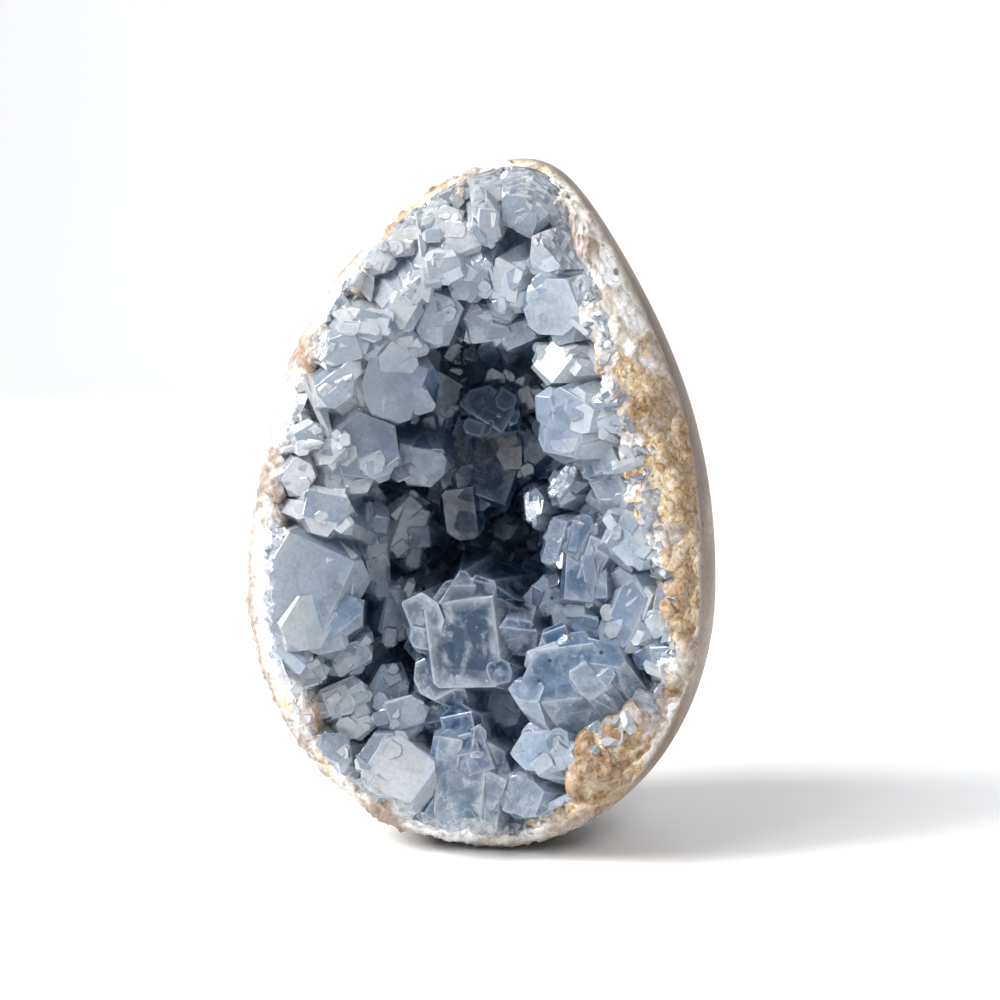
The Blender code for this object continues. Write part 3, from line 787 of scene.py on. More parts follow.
# %% The wall they grow from
FINE_SIDES = 240
FINE_BAND_STEPS = 14
FINE_BOWL_STEPS = 60
FINE_BOWL_SKIP = 8
OUTER_RINGS = 10
NO_ROOM_LEAST = 0.02
NO_ROOM_WIDE = 0.5

fine_angle = turns(FINE_SIDES)
fine_band = rim(fine_angle, FINE_BAND_STEPS)
fine_wall = np.concatenate([fine_band, bowl(fine_angle, FINE_BOWL_STEPS)[FINE_BOWL_SKIP:-1]])
fine_normal = grid_normals(fine_wall)
last_near_rim = len(fine_band) + OUTER_RINGS
no_room = NO_ROOM_LEAST + NO_ROOM_WIDE * band_width(fine_angle)
print("points of the fine wall:", fine_wall.shape[0] * FINE_SIDES)

# %% Crystals that stand between the large ones
LINING_THICKNESS = 2.6
FILLERS = 420
FILLER_FIRST_RING = 2
FILLER_LAST_RINGS = 22
FILLER_SIZES = (2.2, 4.4)
FILLER_HEIGHTS = (4.0, 11.0)
FILLER_BREADTHS = (0.6, 0.95)
FILLER_FACING = 0.8
SMALL_TINTS = (0.0, 0.5)
FORWARD = np.array([0.0, -1.0, 0.0])

draw = np.random.RandomState(7)
small_planes = []
small_tints = []


def keep_small(middle, face, root, growth, size, breadths):
    """Draws a small crystal's breadth, turn and tint, in that order, and keeps its planes."""
    narrow = size * draw.uniform(*breadths)
    turn = draw.uniform(0.0, np.pi)
    small_planes.append(crystal_planes(middle, face, root, growth, turn, size, narrow, draw))
    small_tints.append(draw.uniform(*SMALL_TINTS))


filler_places = []
for _ in range(FILLERS):
    ring = draw.randint(len(fine_band) + FILLER_FIRST_RING, len(fine_wall) - FILLER_LAST_RINGS)
    side = draw.randint(FINE_SIDES)
    root = fine_wall[ring, side]
    growth = unit(fine_normal[ring, side] + draw.normal(0.0, 0.2, 3))
    size = draw.uniform(*FILLER_SIZES)
    middle = root + growth * draw.uniform(*FILLER_HEIGHTS)
    if filler_places and np.min(((np.array(filler_places) - middle) ** 2).sum(axis=1)) < size**2:
        continue
    filler_places.append(middle)
    face = unit(growth + FORWARD * FILLER_FACING + draw.normal(0.0, 0.35, 3))
    keep_small(middle, face, root, growth, size, FILLER_BREADTHS)
fillers = len(small_planes)
print("crystals between the large ones:", fillers)

# %% Crystals that cover the wall
SMALL_MOST = 2600
SMALL_SIZES = (1.3, 3.8)
RIM_SIZES = (0.7, 2.0)
SPACING = 1.12
LIFTS = (0.4, 1.2)
SMALL_HEIGHTS = (0.4, 1.7)
RIM_HEIGHTS = (0.1, 0.8)
SMALL_BREADTHS = (0.55, 0.9)
FILLER_EDGE = 0.06
LONGEST_SMALL = 17.0

taken = np.empty((0, 3))
for index in draw.permutation(fine_wall.shape[0] * FINE_SIDES):
    ring, side = divmod(index, FINE_SIDES)
    root = fine_wall[ring, side]
    on_rim = ring < len(fine_band)
    size = draw.uniform(*(RIM_SIZES if ring < last_near_rim else SMALL_SIZES))
    spacing = SPACING * size
    if len(taken) and np.min(((taken - root) ** 2).sum(axis=1)) < spacing**2:
        continue
    if draw.uniform() < (no_room[side] if on_rim else 0.0):
        continue
    taken = np.vstack([taken, root])
    growth = unit(fine_normal[ring, side] + draw.normal(0.0, 0.33, 3))
    lift = 0.0 if on_rim else draw.uniform(*LIFTS) * LINING_THICKNESS
    middle = root + growth * (lift + size * draw.uniform(*(RIM_HEIGHTS if on_rim else SMALL_HEIGHTS)))
    face = unit(growth + draw.normal(0.0, 0.4, 3))
    keep_small(middle, face, root, growth, size, SMALL_BREADTHS)
    if len(small_planes) == SMALL_MOST:
        break
small_crystals = [
    crystal_object(f"small_{number}", corners, FILLER_EDGE if number < fillers else 0.0, tint)
    for number, (corners, tint) in enumerate(zip(corners_of(small_planes), small_tints))
    if len(corners) >= FEWEST_CORNERS and np.ptp(corners, axis=0).max() < LONGEST_SMALL
]
print("small crystals:", len(small_crystals))

# %% [markdown]
# ## The lining
# Under the crystals lies a thin crust of tiny ones, which has no gaps. It is one closed surface: the bowl,
# thickened towards the hollow, with druse on its front.

# %% Make the lining
CRUST_SIDES = 400
LINING_SPREAD = 0.94
LINING_STEPS = 96
LINING_BACK_SPREAD = 1.05
LINING_BACK_STEPS = 6
LINING_SIDE_STEPS = 10
LINING_BARE_STEPS = 3
LINING_BEDS = ((3.4 * 0.5, 3.4, 20), (1.3 * 0.35, 1.3, 25))
LINING_LIFT = 0.6
LINING_TINT = 0.15
CRUST_CORE = 0.3

crust_angle = turns(CRUST_SIDES)
lining_front = bowl(crust_angle, LINING_STEPS, LINING_SPREAD, LINING_THICKNESS)
lining_back = bowl(crust_angle, LINING_BACK_STEPS, LINING_BACK_SPREAD, -ROOT_LENGTH)[::-1]
lining_side = between(lining_back[-1], lining_front[0], LINING_SIDE_STEPS)
lining = np.concatenate([lining_back, lining_side, lining_front])
grown = np.arange(len(lining)) >= len(lining_back) + LINING_BARE_STEPS
bed = (druses(lining, LINING_BEDS) + LINING_LIFT) * grown[:, None]
lining = lining + grid_normals(lining) * bed[..., None]


def tinted(thing, tint):
    """One tint and one core value for the whole thing."""
    stored_values(thing.data, "FACE", "tint", np.full(len(thing.data.polygons), tint))
    stored_values(thing.data, "CORNER", "core", np.full(len(thing.data.loops), CRUST_CORE))
    return thing


crystals = tinted(closed_surface("crystals", lining), LINING_TINT)
print("lining:", len(crystals.data.polygons), "faces")

# %% [markdown]
# ## One crust
# Crystals that grew together are one solid, so the lining and every crystal are joined with a Boolean.
# The Manifold solver takes a whole collection at once in about a second. A second Boolean keeps what lies
# in the room of the egg: inside the skin at the back, and under the ground curve in front, where the
# lapidary's wheel and a few knocks have taken the rest.

# %% The room that the crystals may fill
ROOM_SHARE = 0.985
ROOM_BACK_RINGS = 10
ROOM_FRONT_RINGS = 90
ROOM_BEHIND = 1.0
ROOM_LOWEST = 0.4
ROOM_TINT = 0.02
GROUND_FRONT = 31.0
GROUND_PROUD = 0.6
TIP_PROUD = 2.4
TIP_PROUD_HUMP = (352.0, 24.0)
TIP_SMOOTH = 0.75
TIP_SMOOTH_HUMP = (352.0, 26.0)
BROKEN_BEDS = ((2.4, 3.0, 110), (1.2, 1.5, 115))
BROKEN_SINK = 0.3
BROKEN_MOST = 0.5
RING_IN_FRONT = 40


def room_rings(angle):
    """Rings of the egg a little inside its skin, then rings of the ground curve up to a flat front."""
    rings = []
    for turn in np.radians(np.linspace(0.0, 90.0, ROOM_BACK_RINGS)):
        share = np.full_like(angle, ROOM_SHARE * np.sin(turn))
        rings.append(at_share(angle, share, -depth_at_share(angle, share / ROOM_SHARE) + ROOM_BEHIND))
    proud = GROUND_PROUD + TIP_PROUD * hump(angle, *TIP_PROUD_HUMP)
    for share in ROOM_SHARE * np.sin(np.radians(np.linspace(89.0, 0.0, ROOM_FRONT_RINGS))):
        shares = np.full_like(angle, share)
        forward = np.minimum(depth_at_share(angle, shares) + proud, GROUND_FRONT)
        rings.append(at_share(angle, shares, forward))
    return np.array(rings)


room_grid = room_rings(crust_angle)
outward = grid_normals(room_grid)
broken = druses(room_grid, BROKEN_BEDS)
broken[: ROOM_BACK_RINGS + 1] = -1.0
broken = np.minimum(broken - BROKEN_SINK, BROKEN_MOST)
broken = broken * (1.0 - TIP_SMOOTH * hump(crust_angle, *TIP_SMOOTH_HUMP))
room_grid += outward * broken[..., None] * np.sign((outward[RING_IN_FRONT] @ FORWARD).mean())
room_grid[..., 2] = np.maximum(room_grid[..., 2], ROOM_LOWEST)
room = tinted(closed_surface("room", room_grid), ROOM_TINT)
print("room:", np.ptp(room_grid.reshape(-1, 3), axis=0).round(1), "mm")

# %% Join and grind the crust
def fuse(thing, others, operation):
    """Joins a thing with a group of others, or cuts it by them, and removes the others."""
    group = bpy.data.collections.new("group")
    for other in others:
        group.objects.link(other)
    change = thing.modifiers.new("fuse", "BOOLEAN")
    change.operation = operation
    change.operand_type = "COLLECTION"
    change.collection = group
    change.solver = "MANIFOLD"
    graph = bpy.context.evaluated_depsgraph_get()
    mesh = bpy.data.meshes.new_from_object(thing.evaluated_get(graph))
    thing.modifiers.clear()
    thing.data = mesh
    for other in others:
        bpy.data.objects.remove(other)
    bpy.data.collections.remove(group)


fuse(crystals, large_crystals + small_crystals, "UNION")
fuse(crystals, [room], "INTERSECT")
crystals.data.shade_flat()
print("crystals:", len(crystals.data.polygons), "faces")

# %% [markdown]
# ## White edge, painted shade in the hollow, and painted light on the faces
# Near the rim the crystals are small, white and sugary; on the upper left the white reaches further in, as
# painted light from the window. Deep in the hollow little light arrives, and the colour is darkened there as
# painted shade. No two faces of a real crystal look the same, because each shows another part of the room;
# here each face gets a tone of painted light by the way it looks. Three stored numbers carry this to the
# material: from the place of a point, from its depth, and from the way a face looks.

# %% Numbers for the material of the crystals
WHITE_LIFT = 0.07
WINDOW_WHITE = 0.30
WINDOW_WHITE_HUMP = (315.0, 75.0)
WHITE_PATCH = 0.15
WHITE_PATCH_SIZE = 7.0
WHITE_FADE = 0.20
INSIDE_START = 24.0
INSIDE_DEPTH = -30.0
FACET_WAYS = (17.0, 23.0, 31.0)
FACET_TINT = 40.0


def read_numbers(data, name, width):
    """One row of numbers for each element of a mesh."""
    values = np.zeros(width * len(data))
    data.foreach_get(name, values)
    return values.reshape(-1, width)


places = read_numbers(crystals.data.vertices, "co", 3) / MM
across, height = places[:, 0], places[:, 2] - MIDDLE_HEIGHT
around = np.arctan2(across, height)
share = np.hypot(across, height) / outline_radius(around)
# The hump on the upper left whitens further in: painted light from the window, on top of the real white rim.
white = share - rim_reach(around) + WHITE_LIFT + WINDOW_WHITE * hump(around, *WINDOW_WHITE_HUMP)
white = white + WHITE_PATCH * fractal(places, WHITE_PATCH_SIZE, 140)
# Depth in the hollow, which later darkens the colour as painted shade.
inside = ease(middle_y(places[:, 2]) - places[:, 1], INSIDE_START, INSIDE_DEPTH)
stored_values(crystals.data, "POINT", "white", ease(white, 0.0, WHITE_FADE))
stored_values(crystals.data, "POINT", "inside", inside)
directions = read_numbers(crystals.data.polygons, "normal", 3)
tints = read_numbers(crystals.data.attributes["tint"].data, "value", 1)[:, 0]
# Painted light: a tone for each face from the way it faces, standing in for the room it reflects.
facet_lights = 0.5 + 0.5 * np.sin(directions @ FACET_WAYS + FACET_TINT * tints)
stored_values(crystals.data, "FACE", "facet_light", facet_lights)
print("white share of the crust:", ease(white, 0.0, WHITE_FADE).mean().round(2))

# %% [markdown]
# ## Materials
# Both finishes are worked out from noise on Object coordinates, so they are sharp at any size and need no
# image. A noise gives a number from 0 to 1 at each place, a ramp turns the number into a colour, and a mix
# lays one colour over another. A few helpers make such nodes in one line each. A noise is given here by
# its scale, detail, roughness and distortion.

# %% Small helpers for materials
def new_material(name):
    """A material with nodes, and its main shader."""
    made = bpy.data.materials.new(name)
    made.use_nodes = True
    return made, made.node_tree.nodes["Principled BSDF"]


def node(made, kind, values=None, **links):
    """A node with plain values by socket name; links give the socket that feeds each named input."""
    new = made.node_tree.nodes.new(kind)
    for socket, value in (values or {}).items():
        new.inputs[socket].default_value = value
    for socket, source in links.items():
        made.node_tree.links.new(source, new.inputs[socket.replace("_", " ")])
    return new


def ramp(made, source, stops):
    """Colours or greys by value, as (place, colour) stops."""
    new = made.node_tree.nodes.new("ShaderNodeValToRGB")
    made.node_tree.links.new(source, new.inputs["Fac"])
    while len(new.color_ramp.elements) < len(stops):
        new.color_ramp.elements.new(0.5)
    for element, (place, colour) in zip(new.color_ramp.elements, stops):
        element.position = place
        element.color = (*colour, 1.0) if isinstance(colour, tuple) else (colour, colour, colour, 1.0)
    return new.outputs["Color"]


def mix(made, amount, first, second, blend="MIX"):
    """Mixes two colours; the amount is a number or a socket, and so is each colour."""
    new = made.node_tree.nodes.new("ShaderNodeMix")
    new.data_type = "RGBA"
    new.blend_type = blend
    for place, value in ((0, amount), (6, first), (7, second)):
        if isinstance(value, bpy.types.NodeSocket):
            made.node_tree.links.new(value, new.inputs[place])
        elif isinstance(value, tuple):
            new.inputs[place].default_value = (*value, 1.0)
        else:
            new.inputs[place].default_value = value
    return new.outputs[2]


def object_place(made):
    """Object coordinates, in metres from the origin of the piece."""
    return made.node_tree.nodes.new("ShaderNodeTexCoord").outputs["Object"]


def noise(made, coordinates, scale, detail=4.0, roughness=0.55, distortion=0.0):
    """Layered noise; the scale is in bumps for each metre."""
    values = {"Scale": scale, "Detail": detail, "Roughness": roughness, "Distortion": distortion}
    return node(made, "ShaderNodeTexNoise", values, Vector=coordinates).outputs["Fac"]


def cells(made, coordinates, scale):
    """Random cells, each with its own colour and with the distance to its middle."""
    return node(made, "ShaderNodeTexVoronoi", {"Scale": scale, "Randomness": 1.0}, Vector=coordinates)


def stored(made, name):
    """A number that was stored on the mesh."""
    new = made.node_tree.nodes.new("ShaderNodeAttribute")
    new.attribute_name = name
    return new.outputs["Fac"]


stone, stone_shader = new_material("matrix_stone")
celestite, celestite_shader = new_material("celestite")
print("materials begun:", stone.name, celestite.name)

# %% [markdown]
# ### Polished skin
# The outside is a brown, cloudy stone with darker specks, polished but not glassy. Broad, slightly
# distorted noise gives the clouds, and a fine one the specks.

# %% Colour of the polished skin
SKIN_CLOUDS = (42.0, 5.0, 0.6, 0.6)
SKIN_COLOURS = (
    (0.30, (0.08, 0.045, 0.028)),
    (0.44, (0.15, 0.095, 0.06)),
    (0.56, (0.22, 0.155, 0.105)),
    (0.70, (0.42, 0.35, 0.28)),
)
SPECKS = (900.0, 3.0, 0.7)
SPECK_STOPS = ((0.36, 0.0), (0.44, 1.0))
SPECK_COLOUR = (0.07, 0.05, 0.035)

place = object_place(stone)
skin_colour = ramp(stone, noise(stone, place, *SKIN_CLOUDS), SKIN_COLOURS)
specks = ramp(stone, noise(stone, place, *SPECKS), SPECK_STOPS)
skin_colour = mix(stone, specks, SPECK_COLOUR, skin_colour)
print("nodes of the skin:", len(stone.node_tree.nodes))

# %% [markdown]
# ### Broken stone
# White grains with grey between them and some beige patches; tan crumbs with brown pits; and a browner
# stretch at the lower right. The stored numbers say where each one shows, and the relief darkens the low
# places and pits as painted shade.

# %% Colours of the broken stone
WHITE_GRAIN = (640.0, 4.0, 0.7)
WHITE_COLOURS = ((0.34, (0.50, 0.50, 0.51)), (0.50, (0.94, 0.94, 0.94)))
BEIGE_PATCHES = (150.0, 4.0, 0.6)
BEIGE_STOPS = ((0.48, 0.0), (0.62, 0.75))
BEIGE = (0.66, 0.58, 0.47)
TAN_GRAIN = (620.0, 5.0, 0.8, 0.8)
TAN_COLOURS = (
    (0.33, (0.20, 0.11, 0.05)),
    (0.42, (0.60, 0.40, 0.21)),
    (0.52, (0.85, 0.69, 0.46)),
    (0.62, (0.94, 0.92, 0.88)),
)
BROWNER_AMOUNT = 0.7
BROWNER = (0.60, 0.47, 0.36)
CRUMBS = (260.0, 4.0, 0.7)
CRUMB_STOPS = ((0.46, 0.0), (0.56, 1.0))
CRUMB_COLOUR = (0.90, 0.80, 0.62)
PIT_SHADE_AMOUNT = 0.9
PIT_SHADE_COLOURS = ((0.10, (0.30, 0.24, 0.20)), (0.62, (1.0, 1.0, 1.0)))

white_grain = ramp(stone, noise(stone, place, *WHITE_GRAIN), WHITE_COLOURS)
beige = ramp(stone, noise(stone, place, *BEIGE_PATCHES), BEIGE_STOPS)
white_grain = mix(stone, beige, white_grain, BEIGE)
tan_grain = ramp(stone, noise(stone, place, *TAN_GRAIN), TAN_COLOURS)
browner = mix(stone, BROWNER_AMOUNT, tan_grain, BROWNER, "MULTIPLY")
crumbs = ramp(stone, noise(stone, place, *CRUMBS), CRUMB_STOPS)
browner = mix(stone, crumbs, browner, CRUMB_COLOUR)
tan_grain = mix(stone, stored(stone, "brown"), tan_grain, browner)
broken_colour = mix(stone, stored(stone, "ochre"), white_grain, tan_grain)
# Painted shade: low places and pits are darkened.
pit_shade = ramp(stone, stored(stone, "relief"), PIT_SHADE_COLOURS)
broken_colour = mix(stone, PIT_SHADE_AMOUNT, broken_colour, pit_shade, "MULTIPLY")
print("nodes of the stone so far:", len(stone.node_tree.nodes))

# %% Finish the stone
STONE_GLOSS = ((0.0, 0.36), (1.0, 0.62))
STONE_SPECULAR = 0.25
STONE_BUMPS = (700.0, 6.0, 0.65)
STONE_BUMP = {"Strength": 0.25, "Distance": 0.0004}

link = stone.node_tree.links.new
link(mix(stone, stored(stone, "band"), skin_colour, broken_colour), stone_shader.inputs["Base Color"])
link(ramp(stone, stored(stone, "band"), STONE_GLOSS), stone_shader.inputs["Roughness"])
stone_shader.inputs["Specular IOR Level"].default_value = STONE_SPECULAR
bump = node(stone, "ShaderNodeBump", STONE_BUMP, Height=noise(stone, place, *STONE_BUMPS))
link(bump.outputs["Normal"], stone_shader.inputs["Normal"])
stone_egg.data.materials.append(stone)
print("material:", stone.name, "with", len(stone.node_tree.nodes), "nodes")

# %% [markdown]
# ### Blue of the celestite
# Celestite is clear and faintly blue, and thick crystals look darker. Each crystal has a tint; its faces
# are paler at their edges, partly from wear and partly as painted light through the thin edge; a few faces
# are whiter than the rest as painted highlights; and patches inside it differ a little.
# The blue could come from the volume alone, but the thin little crystals would then stay white.

# %% Tint of the crystals
TINT_COLOURS = (
    (0.0, (0.93, 0.97, 1.0)),
    (0.3, (0.57, 0.74, 0.93)),
    (0.7, (0.14, 0.29, 0.48)),
    (1.0, (0.04, 0.11, 0.22)),
)
FACET_HIGHLIGHT_STOPS = ((0.86, 0.0), (0.97, 0.2))
FACET_HIGHLIGHT_COLOUR = (0.93, 0.95, 0.98)
CORE_STOPS = ((0.0, 0.1), (0.06, 0.5), (0.28, 1.0))
WORN_AND_LIT_EDGE_COLOUR = (0.80, 0.89, 1.0)
PATCH_SCALE = 210.0
PATCH_STOPS = ((0.2, 0.55), (0.8, 1.0))
PATCH_AMOUNT = 0.55

place = object_place(celestite)
body = ramp(celestite, stored(celestite, "tint"), TINT_COLOURS)
core = ramp(celestite, stored(celestite, "core"), CORE_STOPS)
facet_light = stored(celestite, "facet_light")
# Painted highlights: faces turned one way are whitened.
body = mix(celestite, ramp(celestite, facet_light, FACET_HIGHLIGHT_STOPS), body, FACET_HIGHLIGHT_COLOUR)
# Paler face edges: partly wear, partly painted light through the thin edge.
body = mix(celestite, core, WORN_AND_LIT_EDGE_COLOUR, body)
patches = cells(celestite, place, PATCH_SCALE)
patch = ramp(celestite, patches.outputs["Color"], PATCH_STOPS)
body = mix(celestite, PATCH_AMOUNT, body, patch, "MULTIPLY")
print("nodes of the tint:", len(celestite.node_tree.nodes))

# %% [markdown]
# ### Veils, splits, flecks and dots
# Inside real crystals there are cloudy veils, thin bright splits, white flecks and a few dark grains; the
# white flecks also stand in for small glints, so they are partly painted highlights. Each is a noise or a
# pattern of cells, and a second, slower noise keeps the splits and the flecks to a few places, because an
# even net of them looks like lace.

# %% Things inside the crystals
VEILS = (260.0, 8.0, 0.75, 0.5)
VEIL_STOPS = ((0.48, 0.0), (0.64, 0.7))
VEIL_COLOUR = (0.84, 0.91, 1.0)
SPLIT_SCALE = 130.0
SPLIT_STOPS = ((0.0, 0.8), (0.025, 0.0))
SPLIT_PLACES = (70.0, 2.0)
SPLIT_PLACE_STOPS = ((0.50, 0.0), (0.62, 0.55))
SPLIT_COLOUR = (0.95, 0.97, 1.0)
FLECK_SCALE = 700.0
FLECK_STOPS = ((0.10, 0.85), (0.22, 0.0))
FLECK_PLACES = (190.0, 3.0, 0.7)
FLECK_PLACE_STOPS = ((0.47, 0.0), (0.58, 0.9))
FLECK_AND_GLINT_COLOUR = (0.97, 0.98, 1.0)
DOT_SCALE = 140.0
DOT_STOPS = ((0.045, 1.0), (0.06, 0.0))
DOT_COLOUR = (0.10, 0.11, 0.13)

body = mix(celestite, ramp(celestite, noise(celestite, place, *VEILS), VEIL_STOPS), body, VEIL_COLOUR)
splits = cells(celestite, place, SPLIT_SCALE)
splits.feature = "DISTANCE_TO_EDGE"
split = ramp(celestite, splits.outputs["Distance"], SPLIT_STOPS)
few = ramp(celestite, noise(celestite, place, *SPLIT_PLACES), SPLIT_PLACE_STOPS)
body = mix(celestite, mix(celestite, 1.0, split, few, "MULTIPLY"), body, SPLIT_COLOUR)
# White flecks: partly real specks, partly painted glints.
fleck_and_glint = ramp(celestite, cells(celestite, place, FLECK_SCALE).outputs["Distance"], FLECK_STOPS)
some = ramp(celestite, noise(celestite, place, *FLECK_PLACES), FLECK_PLACE_STOPS)
body = mix(celestite, mix(celestite, 1.0, fleck_and_glint, some, "MULTIPLY"), body, FLECK_AND_GLINT_COLOUR)
dots = ramp(celestite, cells(celestite, place, DOT_SCALE).outputs["Distance"], DOT_STOPS)
body = mix(celestite, dots, body, DOT_COLOUR)
print("nodes with what is inside:", len(celestite.node_tree.nodes))

# %% [markdown]
# ### Sugar, painted facet light and the painted shade of the hollow
# The white number lays sugar over the blue near the rim. After that each face gets its own tone of painted
# light by the way it faces, so that the sugar has facets too, then fine frost, and last the painted shade of
# the hollow.

# %% Colour of the surface
SUGAR = (480.0, 5.0, 0.65)
SUGAR_COLOURS = ((0.30, (0.72, 0.77, 0.84)), (0.44, (0.92, 0.95, 0.99)), (0.60, (1.0, 1.0, 1.0)))
FACET_LIGHT_AMOUNT = 0.95
FACET_LIGHT_TONES = ((0.0, (0.46, 0.53, 0.63)), (0.6, (0.97, 0.98, 1.0)), (0.9, (1.0, 1.0, 1.0)))
FROST = (1100.0, 3.0, 0.75)
FROST_STOPS = ((0.35, 0.66), (0.58, 1.0))
FROST_AMOUNT = 0.5
HOLLOW_SHADE_COLOURS = ((0.25, (1.0, 1.0, 1.0)), (0.85, (0.25, 0.30, 0.37)))

sugar = ramp(celestite, noise(celestite, place, *SUGAR), SUGAR_COLOURS)
body = mix(celestite, stored(celestite, "white"), body, sugar)
# Painted light: each face is lighter or darker by the way it faces.
body = mix(celestite, FACET_LIGHT_AMOUNT, body, ramp(celestite, facet_light, FACET_LIGHT_TONES), "MULTIPLY")
frost = ramp(celestite, noise(celestite, place, *FROST), FROST_STOPS)
body = mix(celestite, FROST_AMOUNT, body, frost, "MULTIPLY")
# Painted shade: the colour darkens with depth in the hollow.
hollow_shade = ramp(celestite, stored(celestite, "inside"), HOLLOW_SHADE_COLOURS)
body = mix(celestite, 1.0, body, hollow_shade, "MULTIPLY")
print("nodes of the whole colour:", len(celestite.node_tree.nodes))

# %% [markdown]
# ### Light in the crystals
# Light goes into a crystal, bends and comes out bluer, so the shader transmits most of it and the volume
# absorbs red first. A real face isn't quite flat: its normal is tilted a little, by a fixed amount in each
# patch, and a very fine bump breaks up the reflections.

# %% Finish the crystals
CRYSTAL_GLOSS = (500.0, 5.0, 0.6)
CRYSTAL_GLOSS_STOPS = ((0.40, 0.02), (0.70, 0.12))
CRYSTAL_CLEARNESS = 0.65
CRYSTAL_IOR = 1.62
CRYSTAL_TILT = 0.14
CRYSTAL_BUMPS = (800.0, 6.0, 0.7)
CRYSTAL_BUMP = {"Strength": 0.22, "Distance": 0.0002}
ABSORPTION = {"Color": (0.25, 0.58, 0.92, 1.0), "Density": 30.0}


def vector_math(made, operation, *sources):
    """A vector node fed by sockets in order; a tuple is a plain value."""
    new = node(made, "ShaderNodeVectorMath")
    new.operation = operation
    for place, source in enumerate(sources):
        if isinstance(source, tuple):
            new.inputs[place].default_value = source
        else:
            made.node_tree.links.new(source, new.inputs[place])
    return new


def tilted(made, colours, amount):
    """The surface's own normal plus a small share of each patch's centred colour, at unit length."""
    small = vector_math(made, "SCALE", vector_math(made, "SUBTRACT", colours, (0.5, 0.5, 0.5)).outputs[0])
    small.inputs["Scale"].default_value = amount
    normal = made.node_tree.nodes.new("ShaderNodeNewGeometry").outputs["Normal"]
    added = vector_math(made, "ADD", small.outputs[0], normal)
    return vector_math(made, "NORMALIZE", added.outputs[0]).outputs[0]


link = celestite.node_tree.links.new
link(body, celestite_shader.inputs["Base Color"])
gloss = ramp(celestite, noise(celestite, place, *CRYSTAL_GLOSS), CRYSTAL_GLOSS_STOPS)
link(gloss, celestite_shader.inputs["Roughness"])
celestite_shader.inputs["Transmission Weight"].default_value = CRYSTAL_CLEARNESS
celestite_shader.inputs["IOR"].default_value = CRYSTAL_IOR
height = noise(celestite, place, *CRYSTAL_BUMPS)
normal = tilted(celestite, patches.outputs["Color"], CRYSTAL_TILT)
bump = node(celestite, "ShaderNodeBump", CRYSTAL_BUMP, Height=height, Normal=normal)
link(bump.outputs["Normal"], celestite_shader.inputs["Normal"])
absorb = node(celestite, "ShaderNodeVolumeAbsorption", ABSORPTION)
link(absorb.outputs["Volume"], celestite.node_tree.nodes["Material Output"].inputs["Volume"])
crystals.data.materials.clear()
crystals.data.materials.append(celestite)
print("material:", celestite.name, "with", len(celestite.node_tree.nodes), "nodes")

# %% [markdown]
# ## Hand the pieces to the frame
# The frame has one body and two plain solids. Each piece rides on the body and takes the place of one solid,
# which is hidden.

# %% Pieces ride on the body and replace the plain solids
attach(stone_egg, "root")
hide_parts("geode_shell")
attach(crystals, "root")
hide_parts("crystal_crust")
print("pieces:", stone_egg.name, crystals.name)

# %% [markdown]
# ## Stage
# The geode stands on white paper that curves up into a wall, as on a small photo table. A plane and a
# second plane would show a line where they meet; a swept profile has none. Lengths here are metres.

# %% Paper
PAPER_HALF_WIDTH = 3.0
PAPER_FRONT = -3.0
BEND_START = 1.2
BEND_RADIUS = 0.6
BEND_STEPS = 25
PAPER_TOP = 3.0
PAPER_COLOUR = (0.97, 0.97, 0.97, 1.0)
PAPER_ROUGHNESS = 0.9


def backdrop():
    """A profile carried sideways: straight back, a quarter circle up, and straight up."""
    across = np.linspace(-PAPER_HALF_WIDTH, PAPER_HALF_WIDTH, 3)
    bend = np.radians(np.linspace(0.0, 90.0, BEND_STEPS))
    y = np.concatenate([[PAPER_FRONT], BEND_START + BEND_RADIUS * np.sin(bend), [BEND_START + BEND_RADIUS]])
    z = np.concatenate([[0.0], BEND_RADIUS - BEND_RADIUS * np.cos(bend), [PAPER_TOP]])
    points = np.stack(np.broadcast_arrays(across[None, :], y[:, None], z[:, None]), axis=-1).reshape(-1, 3)
    index = np.arange(len(points)).reshape(len(y), 3)
    quads = np.stack([index[:-1, :-1], index[:-1, 1:], index[1:, 1:], index[1:, :-1]], axis=-1).reshape(-1, 4)
    mesh = bpy.data.meshes.new("backdrop")
    mesh.from_pydata(points, [], quads.tolist())
    mesh.shade_smooth()
    thing = bpy.data.objects.new("backdrop", mesh)
    bpy.context.scene.collection.objects.link(thing)
    return thing


paper, paper_shader = new_material("paper")
paper_shader.inputs["Base Color"].default_value = PAPER_COLOUR
paper_shader.inputs["Roughness"].default_value = PAPER_ROUGHNESS
floor = backdrop()
floor.data.materials.append(paper)
print("paper:", len(floor.data.polygons), "faces")

# %% [markdown]
# ## Light
# Daylight comes from a window on the upper left, and the white room fills the shadows. A large square lamp
# stands for the window, a small one above lifts the hollow, a weak one in front shows the right side,
# and one lights the wall. The weak one is hidden from glossy rays: seen in the flat faces it would lay a
# grey veil over them.

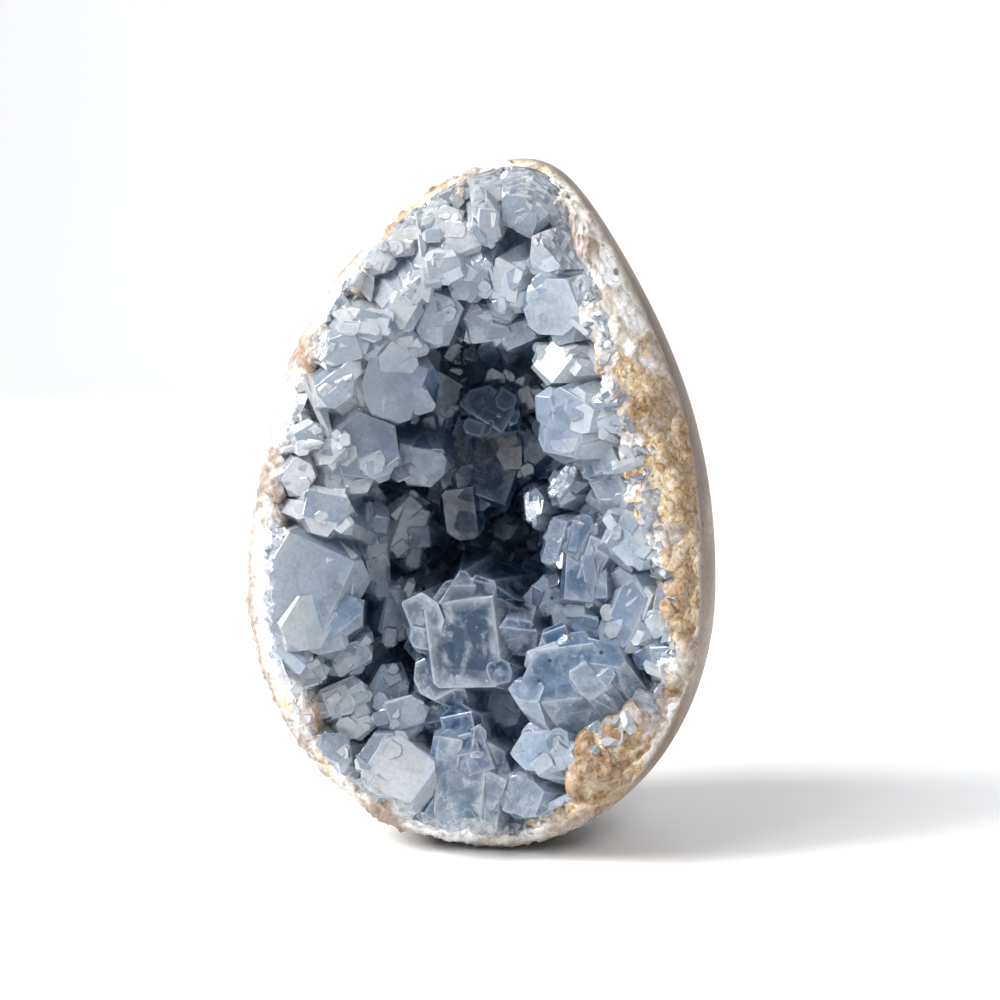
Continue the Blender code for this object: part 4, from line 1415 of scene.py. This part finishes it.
# %% Lamps, room and render settings
CENTRE = (0.0, 0.0, 0.07)
HOLLOW_TOP = (0.0, 0.0, 0.11)
WALL = (0.0, 1.8, 1.0)
LAMPS = {
    "window": ((-0.80, -0.45, 0.75), CENTRE, 0.6, 21.0),
    "overhead": ((-0.22, -0.28, 0.50), HOLLOW_TOP, 0.35, 2.2),
    "fill": ((0.5, -0.95, 0.85), CENTRE, 0.35, 5.0),
    "wall light": ((0.0, 0.7, 1.7), WALL, 1.2, 13.0),
}
ROOM_LIGHT = {"Color": (0.93, 0.96, 1.0, 1.0), "Strength": 0.32}


def soft_light(name, place, target, size, watts):
    """A square lamp of a size in metres that faces a target."""
    lamp = bpy.data.lights.new(name, "AREA")
    lamp.size = size
    lamp.energy = watts
    thing = bpy.data.objects.new(name, lamp)
    bpy.context.scene.collection.objects.link(thing)
    thing.location = place
    thing.rotation_euler = (Vector(target) - Vector(place)).to_track_quat("-Z", "Y").to_euler()
    return thing


lamps = {name: soft_light(name, *values) for name, values in LAMPS.items()}
lamps["fill"].visible_glossy = False
world = bpy.data.worlds.new("room")
bpy.context.scene.world = world
world.use_nodes = True
for socket, value in ROOM_LIGHT.items():
    world.node_tree.nodes["Background"].inputs[socket].default_value = value
bpy.context.scene.view_settings.view_transform = "Standard"
cycles = bpy.context.scene.cycles
cycles.max_bounces = 7
cycles.diffuse_bounces = 2
cycles.glossy_bounces = 4
cycles.transmission_bounces = 6
cycles.adaptive_threshold = 0.035
cycles.caustics_reflective = False
cycles.blur_glossy = 0.5
print("lamps:", {name: thing.data.energy for name, thing in lamps.items()}, "W")

# %% [markdown]
# ## Camera
# The camera looks from a little to the right and slightly down, from under half a metre. Its place is
# written as a distance and two angles about a target, which are easier to match to a picture than x, y
# and z are.

# %% Place the camera
TARGET = np.array([3.0, -6.5, 70.7]) * MM
DISTANCE = 450.0 * MM
AZIMUTH = np.radians(10.0)
ELEVATION = np.radians(7.0)
FOCAL = 80.4
NEAREST = 0.01

level_way = np.array([np.sin(AZIMUTH), -np.cos(AZIMUTH)]) * np.cos(ELEVATION)
way = np.array([*level_way, np.sin(ELEVATION)])
camera = bpy.data.objects.new("camera", bpy.data.cameras.new("camera"))
bpy.context.scene.collection.objects.link(camera)
camera.location = TARGET + DISTANCE * way
camera.rotation_euler = Vector(-way).to_track_quat("-Z", "Y").to_euler()
camera.data.lens = FOCAL
camera.data.clip_start = NEAREST
bpy.context.scene.camera = camera
print("camera at", [round(value, 3) for value in camera.location])
